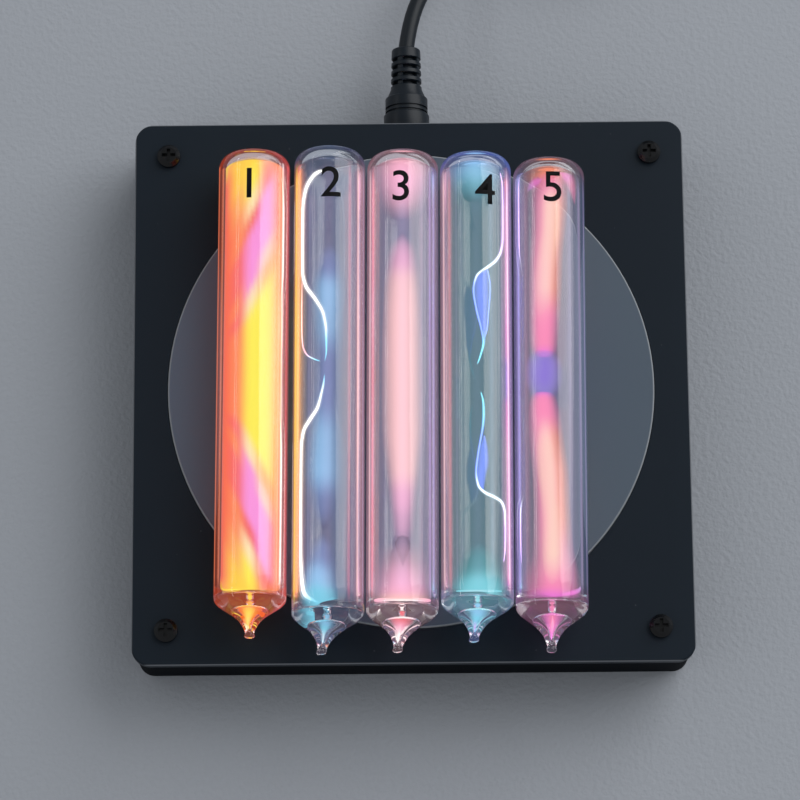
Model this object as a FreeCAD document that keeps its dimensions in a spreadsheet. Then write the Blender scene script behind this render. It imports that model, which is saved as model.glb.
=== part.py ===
import FreeCAD, Part
import math
import os
import re

import Sketcher

# Five sealed gas discharge tubes lying on a flat high-frequency exciter with its power lead.
# Millimetres. The origin is on the floor under the middle of the box, with +X to the right,
# +Y towards the lead and +Z up.

doc = FreeCAD.newDocument("discharge_tube_set")
sheet = doc.addObject("Spreadsheet::Sheet", "Sizes")

sizes = {
    # box
    "box_side": 120.0,
    "box_corner": 4.0,
    "lid_thickness": 2.5,
    "lid_overhang": 0.5,
    "lid_edge_chamfer": 0.3,
    "tray_height": 14.8,
    "wall_thickness": 2.5,
    "floor_thickness": 2.0,
    "foot_stand": 2.0,
    "foot_diameter": 10.0,
    "foot_seat_depth": 0.6,
    "foot_fit": 0.1,
    "foot_inset": 16.0,
    "foot_edge_chamfer": 0.6,
    "lip_thickness": 1.2,
    "lip_depth": 1.5,
    "lip_length": 84.0,
    "lip_fit": 0.2,
    "lip_jack_gap": 1.0,
    # screws
    "lid_screw_inset": 7.4,
    "screw_thread": 2.5,
    "screw_hole": 2.9,
    "screw_pilot": 2.5,
    "pilot_spare": 0.2,
    "lid_screw_length": 8.0,
    "board_screw_length": 5.0,
    "screw_head": 5.0,
    "screw_head_height": 1.8,
    "screw_head_chamfer": 0.75,
    "cross_width": 0.75,
    "cross_span": 2.9,
    "cross_depth": 1.1,
    "boss_diameter": 9.6,
    # disc and electrode
    "disc_diameter": 105.0,
    "disc_thickness": 2.0,
    "disc_proud": 0.3,
    "disc_chamfer": 0.25,
    "disc_fit": 0.15,
    "disc_ledge": 3.4,
    "electrode_fit": 1.1,
    "electrode_thickness": 0.5,
    # driver board
    "board_width": 84.0,
    "board_depth": 74.0,
    "board_thickness": 1.6,
    "board_corner": 2.0,
    "board_back": 31.0,
    "board_hole_inset": 4.5,
    "standoff_height": 2.5,
    "standoff_diameter": 6.0,
    # transformer
    "transformer_x": -14.0,
    "transformer_y": -8.0,
    "core_width": 15.0,
    "core_half_length": 7.5,
    "core_height": 4.65,
    "core_leg": 2.0,
    "core_middle_leg": 5.3,
    "core_gap": 0.1,
    "bobbin_height": 7.8,
    "bobbin_wall": 0.5,
    "bobbin_flange": 0.8,
    "bobbin_fit": 0.1,
    "winding_rim": 0.3,
    # transistor and its heat sink
    "sink_x": 22.0,
    "sink_y": -16.0,
    "sink_width": 31.0,
    "sink_depth": 24.0,
    "sink_base": 1.6,
    "sink_height": 7.6,
    "fin_thickness": 1.2,
    "fin_pitch": 3.3,
    "transistor_width": 10.0,
    "transistor_thickness": 4.5,
    "transistor_mould": 9.0,
    "tab_length": 6.5,
    "tab_thickness": 1.3,
    "leg_pitch": 2.54,
    "leg_width": 0.8,
    "leg_thickness": 0.5,
    "leg_root": 1.0,
    "leg_reach": 6.6,
    "transistor_shift": -2.5,
    # other driver parts
    "capacitor_x": -28.0,
    "capacitor_y": 19.0,
    "capacitor_diameter": 8.0,
    "capacitor_length": 12.0,
    "can_groove_start": 1.6,
    "can_groove_depth": 0.5,
    "can_groove_floor": 0.6,
    "film_x": -31.0,
    "film_y": -26.0,
    "film_pitch": 7.0,
    "film_length": 10.0,
    "film_width": 4.5,
    "film_height": 7.2,
    "film_round": 0.5,
    "choke_x": 27.0,
    "choke_y": 16.0,
    "choke_diameter": 12.0,
    "choke_bore": 6.0,
    "choke_height": 4.5,
    "choke_wire": 0.7,
    "choke_fit": 0.05,
    "choke_turn_angle": 300.0,
    "resistor_x": 2.0,
    "resistor_y": 17.0,
    "resistor_pitch": 6.0,
    "resistor_length": 9.0,
    "resistor_diameter": 3.2,
    "resistor_cap": 3.8,
    "resistor_cap_length": 1.6,
    "resistor_cap_inset": 0.1,
    "resistor_lead": 0.7,
    "resistor_lead_span": 13.0,
    "wire_diameter": 1.3,
    "wire_spread": 2.4,
    "wire_rise": 2.5,
    "wire_first_run": 9.0,
    "wire_fan": 1.0,
    "wire_drop": 1.0,
    "wire_end_inset": 4.0,
    "feed_diameter": 1.0,
    "feed_clearance": 4.0,
    "feed_jog": 2.4,
    # power jack
    "jack_x": -0.4,
    "jack_width": 9.0,
    "jack_height": 11.0,
    "jack_length": 14.0,
    "jack_axis_height": 6.8,
    "jack_bore": 6.4,
    "jack_bore_depth": 10.5,
    "jack_fit": 0.1,
    "jack_pin": 2.0,
    "jack_pin_recess": 0.9,
    "jack_pin_taper": 0.5,
    "jack_pin_nose": 0.4,
    "spring_width": 2.0,
    "spring_side_gap": 0.2,
    "spring_thickness": 0.3,
    "spring_gap": 0.08,
    "spring_slot_start": 1.5,
    "spring_slot_depth": 1.2,
    "spring_front": 2.2,
    "spring_touch_front": 4.1,
    "spring_touch_back": 5.3,
    "spring_foot": 7.5,
    # power plug
    "plug_gap": 0.3,
    "plug_flange": 10.1,
    "plug_flange_length": 4.6,
    "plug_groove": 8.7,
    "plug_groove_width": 0.5,
    "plug_body": 9.4,
    "plug_body_length": 8.5,
    "plug_taper_length": 2.0,
    "plug_edge": 0.4,
    "relief_start": 6.9,
    "relief_end": 6.4,
    "relief_length": 9.4,
    "relief_slot": 0.85,
    "relief_first_slot": 0.7,
    "relief_pitch": 1.85,
    "relief_bridge": 3.6,
    "barrel_diameter": 5.5,
    "barrel_bore": 4.3,
    "barrel_length": 9.5,
    "barrel_seat": 3.0,
    "contact_bore": 2.6,
    "contact_edge": 0.15,
    "insulator_recess": 0.3,
    # cord
    "cord_diameter": 3.5,
    "coil_x": 40.3,
    "coil_y": 131.0,
    "coil_mean_diameter": 42.0,
    "coil_turns_across": 5.0,
    "coil_layers": 2.0,
    "coil_edge": 0.9,
    "tail_run": 6.0,
    "tail_first_drop": 0.3,
    "tie_thickness": 0.6,
    "tie_width": 7.0,
    "tie_angle": 120.0,
    # plug at the cord's far end
    "far_plug_turn": -40.0,
    "far_grip_length": 18.0,
    "far_grip_width": 15.0,
    "far_grip_height": 8.0,
    "far_grip_round": 1.6,
    "far_relief_length": 5.0,
    "far_relief_root": 1.0,
    "far_relief_start": 6.6,
    "far_relief_end": 4.8,
    "shell_width": 12.0,
    "shell_height": 4.5,
    "shell_length": 18.75,
    "shell_wall": 0.3,
    "shell_seat": 4.0,
    "shell_window": 2.4,
    "shell_window_pitch": 5.0,
    "shell_window_place": 8.4,
    "tongue_thickness": 1.8,
    "tongue_recess": 0.8,
    # glass tubes
    "tube_diameter": 15.4,
    "glass_thickness": 1.3,
    "tube_rest_gap": 0.2,
    "end_round": 3.6,
    "end_glass": 1.4,
    "pip_radius": 2.3,
    "pip_depth": 0.35,
    "tube_middle_y": -6.9,
    # each tube's middle, the levels of its end and shoulder, its tip and its small turn
    "neon_tube_x": -34.0,
    "neon_tube_dome_y": 50.4,
    "neon_tube_shoulder_y": -46.9,
    "neon_tube_tip_length": 8.9,
    "neon_tube_tip_offset": 0.0,
    "neon_tube_turn": 0.56,
    "krypton_tube_x": -17.65,
    "krypton_tube_dome_y": 51.0,
    "krypton_tube_shoulder_y": -50.0,
    "krypton_tube_tip_length": 9.4,
    "krypton_tube_tip_offset": -1.4,
    "krypton_tube_turn": 0.5,
    "helium_tube_x": -1.9,
    "helium_tube_dome_y": 50.1,
    "helium_tube_shoulder_y": -49.5,
    "helium_tube_tip_length": 9.6,
    "helium_tube_tip_offset": -1.1,
    "helium_tube_turn": 0.56,
    "xenon_tube_x": 13.9,
    "xenon_tube_dome_y": 49.5,
    "xenon_tube_shoulder_y": -47.9,
    "xenon_tube_tip_length": 9.2,
    "xenon_tube_tip_offset": -0.9,
    "xenon_tube_turn": 0.48,
    "argon_tube_x": 29.65,
    "argon_tube_dome_y": 48.0,
    "argon_tube_shoulder_y": -49.0,
    "argon_tube_tip_length": 10.4,
    "argon_tube_tip_offset": -0.2,
    "argon_tube_turn": 0.6,
}


def fill_sheet():
    for row, (name, number) in enumerate(sizes.items(), start=1):
        sheet.set("A%d" % row, name)
        sheet.set("B%d" % row, str(number))
        sheet.setAlias("B%d" % row, name)
    doc.recompute()


# A formula is written with the sizes' own names; these two tie it to the sheet or read it.
def formula(text):
    return re.sub(r"[a-z]\w+", lambda word: prefixed(word.group()), str(text))


def prefixed(word):
    return "Sizes." + word if word in sizes else word


def value(text):
    number = sheet.evalExpression(formula(text))
    return float(getattr(number, "Value", number))


fill_sheet()

# Levels and lengths that several pieces share.
tray_top = "(foot_stand + tray_height)"
lid_top = "(%s + lid_thickness)" % tray_top
disc_top = "(%s + disc_proud)" % lid_top
disc_under = "(%s - disc_thickness)" % disc_top
inner_floor = "(foot_stand + floor_thickness)"
board_under = "(%s + standoff_height)" % inner_floor
board_top = "(%s + board_thickness)" % board_under
tray_half = "(box_side / 2 - lid_overhang)"
inner_half = "(%s - wall_thickness)" % tray_half
screw_half = "(box_side / 2 - lid_screw_inset)"
foot_half = "(box_side / 2 - foot_inset)"
plug_axis = "(%s + jack_axis_height)" % inner_floor
plug_face = "(%s + plug_gap)" % tray_half
board_middle = "(board_back - board_depth / 2)"
board_hole_x = "(board_width / 2 - board_hole_inset)"
board_hole_y = "(board_depth / 2 - board_hole_inset)"
corners = [(1, 1), (-1, 1), (-1, -1), (1, -1)]
lid_screw_places = [("%d * %s" % (side_x, screw_half), "%d * %s" % (side_y, screw_half))
                    for side_x, side_y in corners]
board_screw_places = [("%d * %s" % (side_x, board_hole_x),
                       "%s + %d * %s" % (board_middle, side_y, board_hole_y))
                      for side_x, side_y in corners]
transistor_screw_place = [("sink_x", "sink_y + transistor_shift - tab_length / 2")]
tab_top = "(%s + sink_base + tab_thickness)" % board_top
pieces = []
touching = 1e-4
same_size = 1e-3
volume_tolerance = 0.01
arc_share = 0.45


def keep(item, label):
    item.Label = label
    pieces.append(item)
    return item


def place(item, x="0", y="0", z="0", axis=(0, 0, 1), angle="0"):
    turn = FreeCAD.Rotation(FreeCAD.Vector(*axis), value(angle))
    item.Placement = FreeCAD.Placement(FreeCAD.Vector(value(x), value(y), value(z)), turn)
    item.setExpression("Placement.Base.x", formula(x))
    item.setExpression("Placement.Base.y", formula(y))
    item.setExpression("Placement.Base.z", formula(z))
    return item


# Sketches. Each point and size is held by a constraint bound to the sheet.
def new_body(label):
    return keep(doc.addObject("PartDesign::Body", label), label)


def new_sketch(body, name, plane="XY_Plane", offset="0"):
    sketch = body.newObject("Sketcher::SketchObject", name)
    own_plane = [item for item in body.Origin.OriginFeatures if item.Role == plane][0]
    sketch.AttachmentSupport = [(own_plane, "")]
    sketch.MapMode = "FlatFace"
    sketch.setExpression("AttachmentOffset.Base.z", formula(offset))
    return sketch


def hold(sketch, kind, where, text):
    index = sketch.addConstraint(Sketcher.Constraint(kind, *where, value(text)))
    sketch.setExpression("Constraints[%d]" % index, formula(text))


def add_circle(sketch, x, y, diameter):
    middle = FreeCAD.Vector(value(x), value(y), 0)
    circle = Part.Circle(middle, FreeCAD.Vector(0, 0, 1), value(diameter) / 2)
    index = sketch.addGeometry(circle)
    hold(sketch, "DistanceX", (-1, 1, index, 3), x)
    hold(sketch, "DistanceY", (-1, 1, index, 3), y)
    hold(sketch, "Diameter", (index,), diameter)


def add_outline(sketch, points):
    corner_at = [FreeCAD.Vector(value(x), value(y), 0) for x, y in points]
    count = len(points)
    lines = [
        sketch.addGeometry(Part.LineSegment(corner_at[i], corner_at[(i + 1) % count]))
        for i in range(count)
    ]
    for i, line in enumerate(lines):
        following = lines[(i + 1) % count]
        sketch.addConstraint(Sketcher.Constraint("Coincident", line, 2, following, 1))
        hold(sketch, "DistanceX", (-1, 1, line, 1), points[i][0])
        hold(sketch, "DistanceY", (-1, 1, line, 1), points[i][1])


def add_rectangle(sketch, x, y, width, height):
    left, right = "(%s) - (%s) / 2" % (x, width), "(%s) + (%s) / 2" % (x, width)
    low, high = "(%s) - (%s) / 2" % (y, height), "(%s) + (%s) / 2" % (y, height)
    add_outline(sketch, [(left, low), (right, low), (right, high), (left, high)])


def add_rounded(sketch, width, height, radius, x="0", y="0"):
    middle = FreeCAD.Vector(value(x), value(y), 0)
    half_x, half_y, r = value(width) / 2, value(height) / 2, value(radius)
    quarters = [(1, 1, 0), (-1, 1, 90), (-1, -1, 180), (1, -1, 270)]
    arcs = []
    for side_x, side_y, start in quarters:
        centre = middle + FreeCAD.Vector(side_x * (half_x - r), side_y * (half_y - r), 0)
        circle = Part.Circle(centre, FreeCAD.Vector(0, 0, 1), r)
        arc = Part.ArcOfCircle(circle, math.radians(start), math.radians(start + 90))
        arcs.append(sketch.addGeometry(arc))
    for i, arc in enumerate(arcs):
        following = arcs[(i + 1) % len(arcs)]
        ends = sketch.getPoint(arc, 2), sketch.getPoint(following, 1)
        line = sketch.addGeometry(Part.LineSegment(*ends))
        sketch.addConstraint(Sketcher.Constraint("Tangent", arc, 2, line, 1))
        sketch.addConstraint(Sketcher.Constraint("Tangent", line, 2, following, 1))
        level = "Horizontal" if i % 2 == 0 else "Vertical"
        sketch.addConstraint(Sketcher.Constraint(level, line))
        if i:
            sketch.addConstraint(Sketcher.Constraint("Equal", arcs[0], arc))
    hold(sketch, "Radius", (arcs[0],), radius)
    for arc, side in ((arcs[0], 1), (arcs[2], -1)):
        reach_x = "(%s) + %d * ((%s) / 2 - (%s))" % (x, side, width, radius)
        reach_y = "(%s) + %d * ((%s) / 2 - (%s))" % (y, side, height, radius)
        hold(sketch, "DistanceX", (-1, 1, arc, 3), reach_x)
        hold(sketch, "DistanceY", (-1, 1, arc, 3), reach_y)


# Features. Each one is checked to have added or taken away material.
def finish_feature(body, feature, grows):
    before = body.Shape.Volume if body.Shape.Solids else 0
    body.Tip = feature
    doc.recompute()
    change = body.Shape.Volume - before
    if (change > 0) != grows or "Invalid" in feature.State or "Error" in feature.State:
        raise RuntimeError("%s changes the volume by %.3f" % (feature.Label, change))
    return feature


def pad(body, sketch, length, name, reversed=False, midplane=False):
    feature = body.newObject("PartDesign::Pad", name)
    feature.Profile = sketch
    feature.setExpression("Length", formula(length))
    feature.Reversed = reversed
    feature.SideType = "Symmetric" if midplane else "One side"
    return finish_feature(body, feature, True)


def pocket(body, sketch, depth, name, reversed=False, midplane=False):
    feature = body.newObject("PartDesign::Pocket", name)
    feature.Profile = sketch
    feature.setExpression("Length", formula(depth))
    feature.Reversed = reversed
    feature.SideType = "Symmetric" if midplane else "One side"
    return finish_feature(body, feature, False)


def revolve(body, sketch, name, axis="V_Axis", angle="360", cut=False):
    kind = "PartDesign::Groove" if cut else "PartDesign::Revolution"
    feature = body.newObject(kind, name)
    feature.Profile = sketch
    feature.ReferenceAxis = (sketch, [axis])
    feature.setExpression("Angle", formula(angle))
    return finish_feature(body, feature, not cut)


def loft(body, sketches, name, cut=False):
    kind = "PartDesign::SubtractiveLoft" if cut else "PartDesign::AdditiveLoft"
    feature = body.newObject(kind, name)
    feature.Profile = sketches[0]
    feature.Sections = sketches[1:]
    return finish_feature(body, feature, not cut)


def pattern(body, features, name, axis="Z_Axis", count=4):
    feature = body.newObject("PartDesign::PolarPattern", name)
    feature.Originals = features
    own_axis = [item for item in body.Origin.OriginFeatures if item.Role == axis][0]
    feature.Axis = (own_axis, [""])
    feature.Angle = 360
    feature.Occurrences = count
    return feature


def repeat(body, features, name, axis, length, count):
    feature = body.newObject("PartDesign::LinearPattern", name)
    feature.Originals = features
    own_axis = [item for item in body.Origin.OriginFeatures if item.Role == axis][0]
    feature.Direction = (own_axis, [""])
    feature.setExpression("Length", formula(length))
    feature.Occurrences = count
    return feature


def edges_at(shape, test):
    return ["Edge%d" % (i + 1) for i, edge in enumerate(shape.Edges) if test(edge)]


def soften(body, test, size, name, kind="Fillet"):
    base = body.Tip
    feature = body.newObject("PartDesign::" + kind, name)
    feature.Base = (base, edges_at(base.Shape, test))
    feature.setExpression("Radius" if kind == "Fillet" else "Size", formula(size))
    body.Tip = feature
    doc.recompute()
    return feature


def at_level(edge, level):
    box = edge.BoundBox
    return abs(box.ZMin - level) < touching and abs(box.ZMax - level) < touching


# Tray: floor, walls, corner bosses for the lid's screws, standoffs and the jack's cut-out.
def make_tray():
    body = new_body("lower_housing")
    outline = new_sketch(body, "tray_outline", offset="foot_stand")
    side = "2 * " + tray_half
    add_rounded(outline, side, side, "box_corner - lid_overhang")
    pad(body, outline, "tray_height", "tray_block")

    hollow = new_sketch(body, "tray_hollow", offset=inner_floor)
    inside = "2 * " + inner_half
    add_rounded(hollow, inside, inside, "box_corner - lid_overhang - wall_thickness")
    pocket(body, hollow, "tray_height", "tray_room", reversed=True)

    bosses = new_sketch(body, "boss_outlines", offset=inner_floor)
    for side_x, side_y in corners:
        add_circle(bosses, "%d * %s" % (side_x, screw_half), "%d * %s" % (side_y, screw_half),
                   "boss_diameter")
    pad(body, bosses, "tray_height - floor_thickness", "lid_bosses")

    standoffs = new_sketch(body, "standoff_outlines", offset=inner_floor)
    for side_x, side_y in corners:
        add_circle(standoffs, "%d * %s" % (side_x, board_hole_x),
                   "%s + %d * %s" % (board_middle, side_y, board_hole_y),
                   "standoff_diameter")
    pad(body, standoffs, "standoff_height", "board_standoffs")

    pilots = new_sketch(body, "lid_screw_pilots", offset=tray_top)
    for side_x, side_y in corners:
        add_circle(pilots, "%d * %s" % (side_x, screw_half), "%d * %s" % (side_y, screw_half),
                   "screw_pilot")
    pocket(body, pilots, "lid_screw_length - lid_thickness + pilot_spare", "lid_pilot_holes")

    board_pilots = new_sketch(body, "board_screw_pilots", offset=board_under)
    for side_x, side_y in corners:
        add_circle(board_pilots, "%d * %s" % (side_x, board_hole_x),
                   "%s + %d * %s" % (board_middle, side_y, board_hole_y),
                   "screw_pilot")
    pocket(body, board_pilots, "board_screw_length - board_thickness + pilot_spare",
           "board_pilot_holes")

    cut = new_sketch(body, "jack_opening", "XZ_Plane", offset="-" + tray_half)
    add_rectangle(cut, "jack_x", inner_floor + " + jack_height / 2",
                  "jack_width + 2 * jack_fit", "jack_height")
    pocket(body, cut, "2 * wall_thickness", "jack_cut_out", reversed=True)

    seats = new_sketch(body, "foot_seats", offset="foot_stand")
    for side_x, side_y in corners:
        add_circle(seats, "%d * %s" % (side_x, foot_half), "%d * %s" % (side_y, foot_half),
                   "foot_diameter + 2 * foot_fit")
    pocket(body, seats, "foot_seat_depth", "foot_recesses", reversed=True)


def make_feet():
    body = new_body("rubber_feet")
    outline = new_sketch(body, "foot_outlines")
    for side_x, side_y in corners:
        add_circle(outline, "%d * %s" % (side_x, foot_half), "%d * %s" % (side_y, foot_half),
                   "foot_diameter")
    pad(body, outline, "foot_stand + foot_seat_depth", "feet")
    soften(body, lambda edge: at_level(edge, 0), "foot_edge_chamfer", "foot_edges", "Chamfer")


# Lid: a flat frame with a stepped round window and four ribs that centre it in the tray.
def make_lid():
    body = new_body("lid")
    outline = new_sketch(body, "lid_outline", offset=tray_top)
    add_rounded(outline, "box_side", "box_side", "box_corner")
    pad(body, outline, "lid_thickness", "lid_plate")
    top = value(lid_top)
    soften(body, lambda edge: at_level(edge, top), "lid_edge_chamfer", "lid_edge", "Chamfer")

    window = new_sketch(body, "window_outline", offset=lid_top)
    add_circle(window, "0", "0", "disc_diameter + 2 * disc_fit")
    pocket(body, window, "disc_thickness - disc_proud", "disc_seat")

    opening = new_sketch(body, "opening_outline", offset=lid_top)
    add_circle(opening, "0", "0", "disc_diameter - 2 * disc_ledge")
    pocket(body, opening, "2 * lid_thickness", "field_opening")

    holes = new_sketch(body, "lid_hole_outlines", offset=lid_top)
    for side_x, side_y in corners:
        add_circle(holes, "%d * %s" % (side_x, screw_half), "%d * %s" % (side_y, screw_half),
                   "screw_hole")
    pocket(body, holes, "2 * lid_thickness", "lid_screw_holes")

    rib = new_sketch(body, "rib_outline", offset=tray_top)
    add_rectangle(rib, "0", inner_half + " - lip_fit - lip_thickness / 2",
                  "lip_length", "lip_thickness")
    one_rib = pad(body, rib, "lip_depth", "centring_rib", reversed=True)
    finish_feature(body, pattern(body, [one_rib], "centring_ribs"), True)

    # Room in the back rib for the jack's body.
    gap = new_sketch(body, "rib_gap_outline", offset=tray_top)
    add_rectangle(gap, "jack_x", inner_half, "jack_width + 2 * lip_jack_gap",
                  "4 * lip_thickness")
    pocket(body, gap, "2 * lip_depth", "rib_gap")


def make_screws(label, places, head_under, length, crossed=False):
    body = new_body(label)
    heads = new_sketch(body, label + "_heads", offset=head_under)
    shanks = new_sketch(body, label + "_shanks", offset=head_under)
    for x, y in places:
        add_circle(heads, x, y, "screw_head")
        add_circle(shanks, x, y, "screw_thread")
    pad(body, heads, "screw_head_height", label + "_head_pads")
    top = value("%s + screw_head_height" % head_under)
    soften(body, lambda edge: at_level(edge, top), "screw_head_chamfer",
           label + "_head_edges", "Chamfer")
    pad(body, shanks, length, label + "_shank_pads", reversed=True)
    if crossed:
        for name, width, height in (("long", "cross_span", "cross_width"),
                                    ("short", "cross_width", "cross_span")):
            slots = new_sketch(body, "%s_%s" % (label, name),
                               offset="%s + screw_head_height" % head_under)
            for x, y in places:
                add_rectangle(slots, x, y, width, height)
            pocket(body, slots, "cross_depth", "%s_%s_slots" % (label, name))


def make_disc():
    body = new_body("frosted_disc")
    outline = new_sketch(body, "disc_outline", offset=disc_under)
    add_circle(outline, "0", "0", "disc_diameter")
    pad(body, outline, "disc_thickness", "disc_plate")
    top = value(disc_top)
    soften(body, lambda edge: at_level(edge, top), "disc_chamfer", "disc_edge", "Chamfer")


def make_electrode():
    plate = doc.addObject("Part::Cylinder", "electrode_plate")
    plate.setExpression("Radius", formula("disc_diameter / 2 - disc_ledge - electrode_fit"))
    plate.setExpression("Height", formula("electrode_thickness"))
    keep(place(plate, z="%s - electrode_thickness" % disc_under), "electrode_plate")


def make_board():
    body = new_body("driver_board")
    outline = new_sketch(body, "board_outline", offset=board_under)
    add_rounded(outline, "board_width", "board_depth", "board_corner", "0", board_middle)
    pad(body, outline, "board_thickness", "board_plate")
    holes = new_sketch(body, "board_hole_outlines", offset=board_top)
    for side_x, side_y in corners:
        add_circle(holes, "%d * %s" % (side_x, board_hole_x),
                   "%s + %d * %s" % (board_middle, side_y, board_hole_y), "screw_hole")
    pocket(body, holes, "2 * board_thickness", "board_holes")


# Transformer, with its legs' axis along X: two E-shaped core halves, bobbin and windings.
core_level = "(%s + bobbin_height / 2)" % board_top
tunnel_width = "(core_middle_leg + 2 * bobbin_fit)"
tunnel_height = "(core_height + 2 * bobbin_fit)"
spool_width = "(%s + 2 * bobbin_wall)" % tunnel_width
spool_height = "(%s + 2 * bobbin_wall)" % tunnel_height
window_width = "(core_width - 2 * core_leg)"
window_half = "(core_half_length - core_leg)"
flange_width = "(%s - 4 * bobbin_fit)" % window_width
flange_outer = "(%s - 2 * bobbin_fit)" % window_half


def make_core_half(label, side):
    body = new_body(label)
    place(body, "transformer_x", "transformer_y", core_level)
    outline = new_sketch(body, label + "_outline")
    back = "%d * core_half_length" % side
    inner = "%d * %s" % (side, window_half)
    face = "%d * core_gap / 2" % side
    half, slot, leg = "core_width / 2", window_width + " / 2", "core_middle_leg / 2"
    add_outline(outline, [
        (back, "-" + half), (back, half), (face, half), (face, slot),
        (inner, slot), (inner, leg), (face, leg), (face, "-" + leg),
        (inner, "-" + leg), (inner, "-" + slot), (face, "-" + slot), (face, "-" + half),
    ])
    pad(body, outline, "core_height", label + "_block", midplane=True)


def make_bobbin():
    body = new_body("transformer_bobbin")
    place(body, "transformer_x", "transformer_y", core_level)
    spool = new_sketch(body, "spool_outline", "YZ_Plane")
    add_rectangle(spool, "0", "0", spool_width, spool_height)
    pad(body, spool, "2 * %s" % flange_outer, "spool", midplane=True)
    starts = ["-" + flange_outer, "-bobbin_flange / 2", flange_outer + " - bobbin_flange"]
    for number, start in enumerate(starts):
        flange = new_sketch(body, "flange_outline_%d" % number, "YZ_Plane", offset=start)
        add_rectangle(flange, "0", "0", flange_width, "bobbin_height")
        pad(body, flange, "bobbin_flange", "flange_%d" % number)
    tunnel = new_sketch(body, "tunnel_outline", "YZ_Plane")
    add_rectangle(tunnel, "0", "0", tunnel_width, tunnel_height)
    pocket(body, tunnel, "4 * core_half_length", "core_tunnel", midplane=True)


def make_winding(label, start, length):
    body = new_body(label)
    place(body, "transformer_x", "transformer_y", core_level)
    outer = new_sketch(body, label + "_outline", "YZ_Plane", offset=start)
    add_rounded(outer, "%s - 2 * winding_rim" % flange_width,
                "bobbin_height - 2 * winding_rim", "bobbin_wall * 2")
    pad(body, outer, length, label + "_turns")
    inner = new_sketch(body, label + "_inside", "YZ_Plane", offset=start)
    add_rectangle(inner, "0", "0", spool_width, spool_height)
    pocket(body, inner, length, label + "_spool_room", reversed=True)


def make_transformer():
    make_core_half("ferrite_core_left", -1)
    make_core_half("ferrite_core_right", 1)
    make_bobbin()
    space = "(%s - 1.5 * bobbin_flange)" % flange_outer
    make_winding("primary_winding", "-%s - bobbin_flange / 2" % space, space)
    make_winding("secondary_winding", "bobbin_flange / 2", space)


# Finned heat sink with a flat middle, and the transistor that is screwed down on it.
def make_heat_sink():
    body = new_body("heat_sink")
    place(body, "sink_x", "sink_y", board_top)
    base = new_sketch(body, "sink_base_outline")
    add_rectangle(base, "0", "0", "sink_width", "sink_depth")
    pad(body, base, "sink_base", "sink_base_plate")
    for side, name in ((-1, "left"), (1, "right")):
        fin = new_sketch(body, name + "_fin_outline", offset="sink_base")
        add_rectangle(fin, "%d * (sink_width - fin_thickness) / 2" % side, "0",
                      "fin_thickness", "sink_depth")
        one_fin = pad(body, fin, "sink_height - sink_base", name + "_fin")
        fins = repeat(body, [one_fin], name + "_fins", "X_Axis", "2 * fin_pitch", 3)
        fins.Reversed = side > 0
        finish_feature(body, fins, True)
    hole = new_sketch(body, "sink_screw_hole", offset="sink_base")
    add_circle(hole, "0", "transistor_shift - tab_length / 2", "screw_pilot")
    pocket(body, hole, "sink_base", "sink_screw_bore")


def make_transistor():
    body = new_body("power_transistor")
    place(body, "sink_x", "sink_y + transistor_shift", "%s + sink_base" % board_top)
    tab = new_sketch(body, "tab_outline")
    add_rectangle(tab, "0", "(transistor_mould - tab_length) / 2", "transistor_width",
                  "tab_length + transistor_mould")
    pad(body, tab, "tab_thickness", "tab")
    mould = new_sketch(body, "mould_outline")
    add_rectangle(mould, "0", "transistor_mould / 2", "transistor_width", "transistor_mould")
    pad(body, mould, "transistor_thickness", "mould")
    hole = new_sketch(body, "tab_hole", offset="tab_thickness")
    add_circle(hole, "0", "-tab_length / 2", "screw_hole")
    pocket(body, hole, "2 * tab_thickness", "tab_bore")
    level, end = "transistor_thickness / 2", "transistor_mould + leg_reach"
    for number in (-1, 0, 1):
        leg = new_sketch(body, "leg_outline_%d" % (number + 1), "YZ_Plane",
                         offset="%d * leg_pitch - leg_width / 2" % number)
        add_outline(leg, [
            ("transistor_mould - leg_root", level), (end, level), (end, "-sink_base"),
            (end + " - leg_thickness", "-sink_base"),
            (end + " - leg_thickness", level + " - leg_thickness"),
            ("transistor_mould - leg_root", level + " - leg_thickness"),
        ])
        pad(body, leg, "leg_width", "leg_%d" % (number + 1))


# Round driver parts.
def make_capacitor():
    body = new_body("filter_capacitor")
    place(body, "capacitor_x", "capacitor_y", "%s + capacitor_diameter / 2" % board_top)
    can = new_sketch(body, "can_profile")
    r, groove = "capacitor_diameter / 2", "capacitor_diameter / 2 - can_groove_depth"
    first = "(can_groove_start + can_groove_depth)"
    second = "(%s + can_groove_floor)" % first
    add_outline(can, [
        ("0", "0"), ("0", r), ("can_groove_start", r), (first, groove), (second, groove),
        (second + " + can_groove_depth", r), ("capacitor_length", r), ("capacitor_length", "0"),
    ])
    revolve(body, can, "can", "H_Axis")


def make_film_capacitors():
    body = new_body("resonant_capacitors")
    place(body, "film_x", "film_y", board_top)
    outline = new_sketch(body, "film_outlines")
    for number in range(2):
        add_rounded(outline, "film_length", "film_width", "film_round", "0",
                    "%d * film_pitch" % number)
    pad(body, outline, "film_height", "film_blocks")


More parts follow.
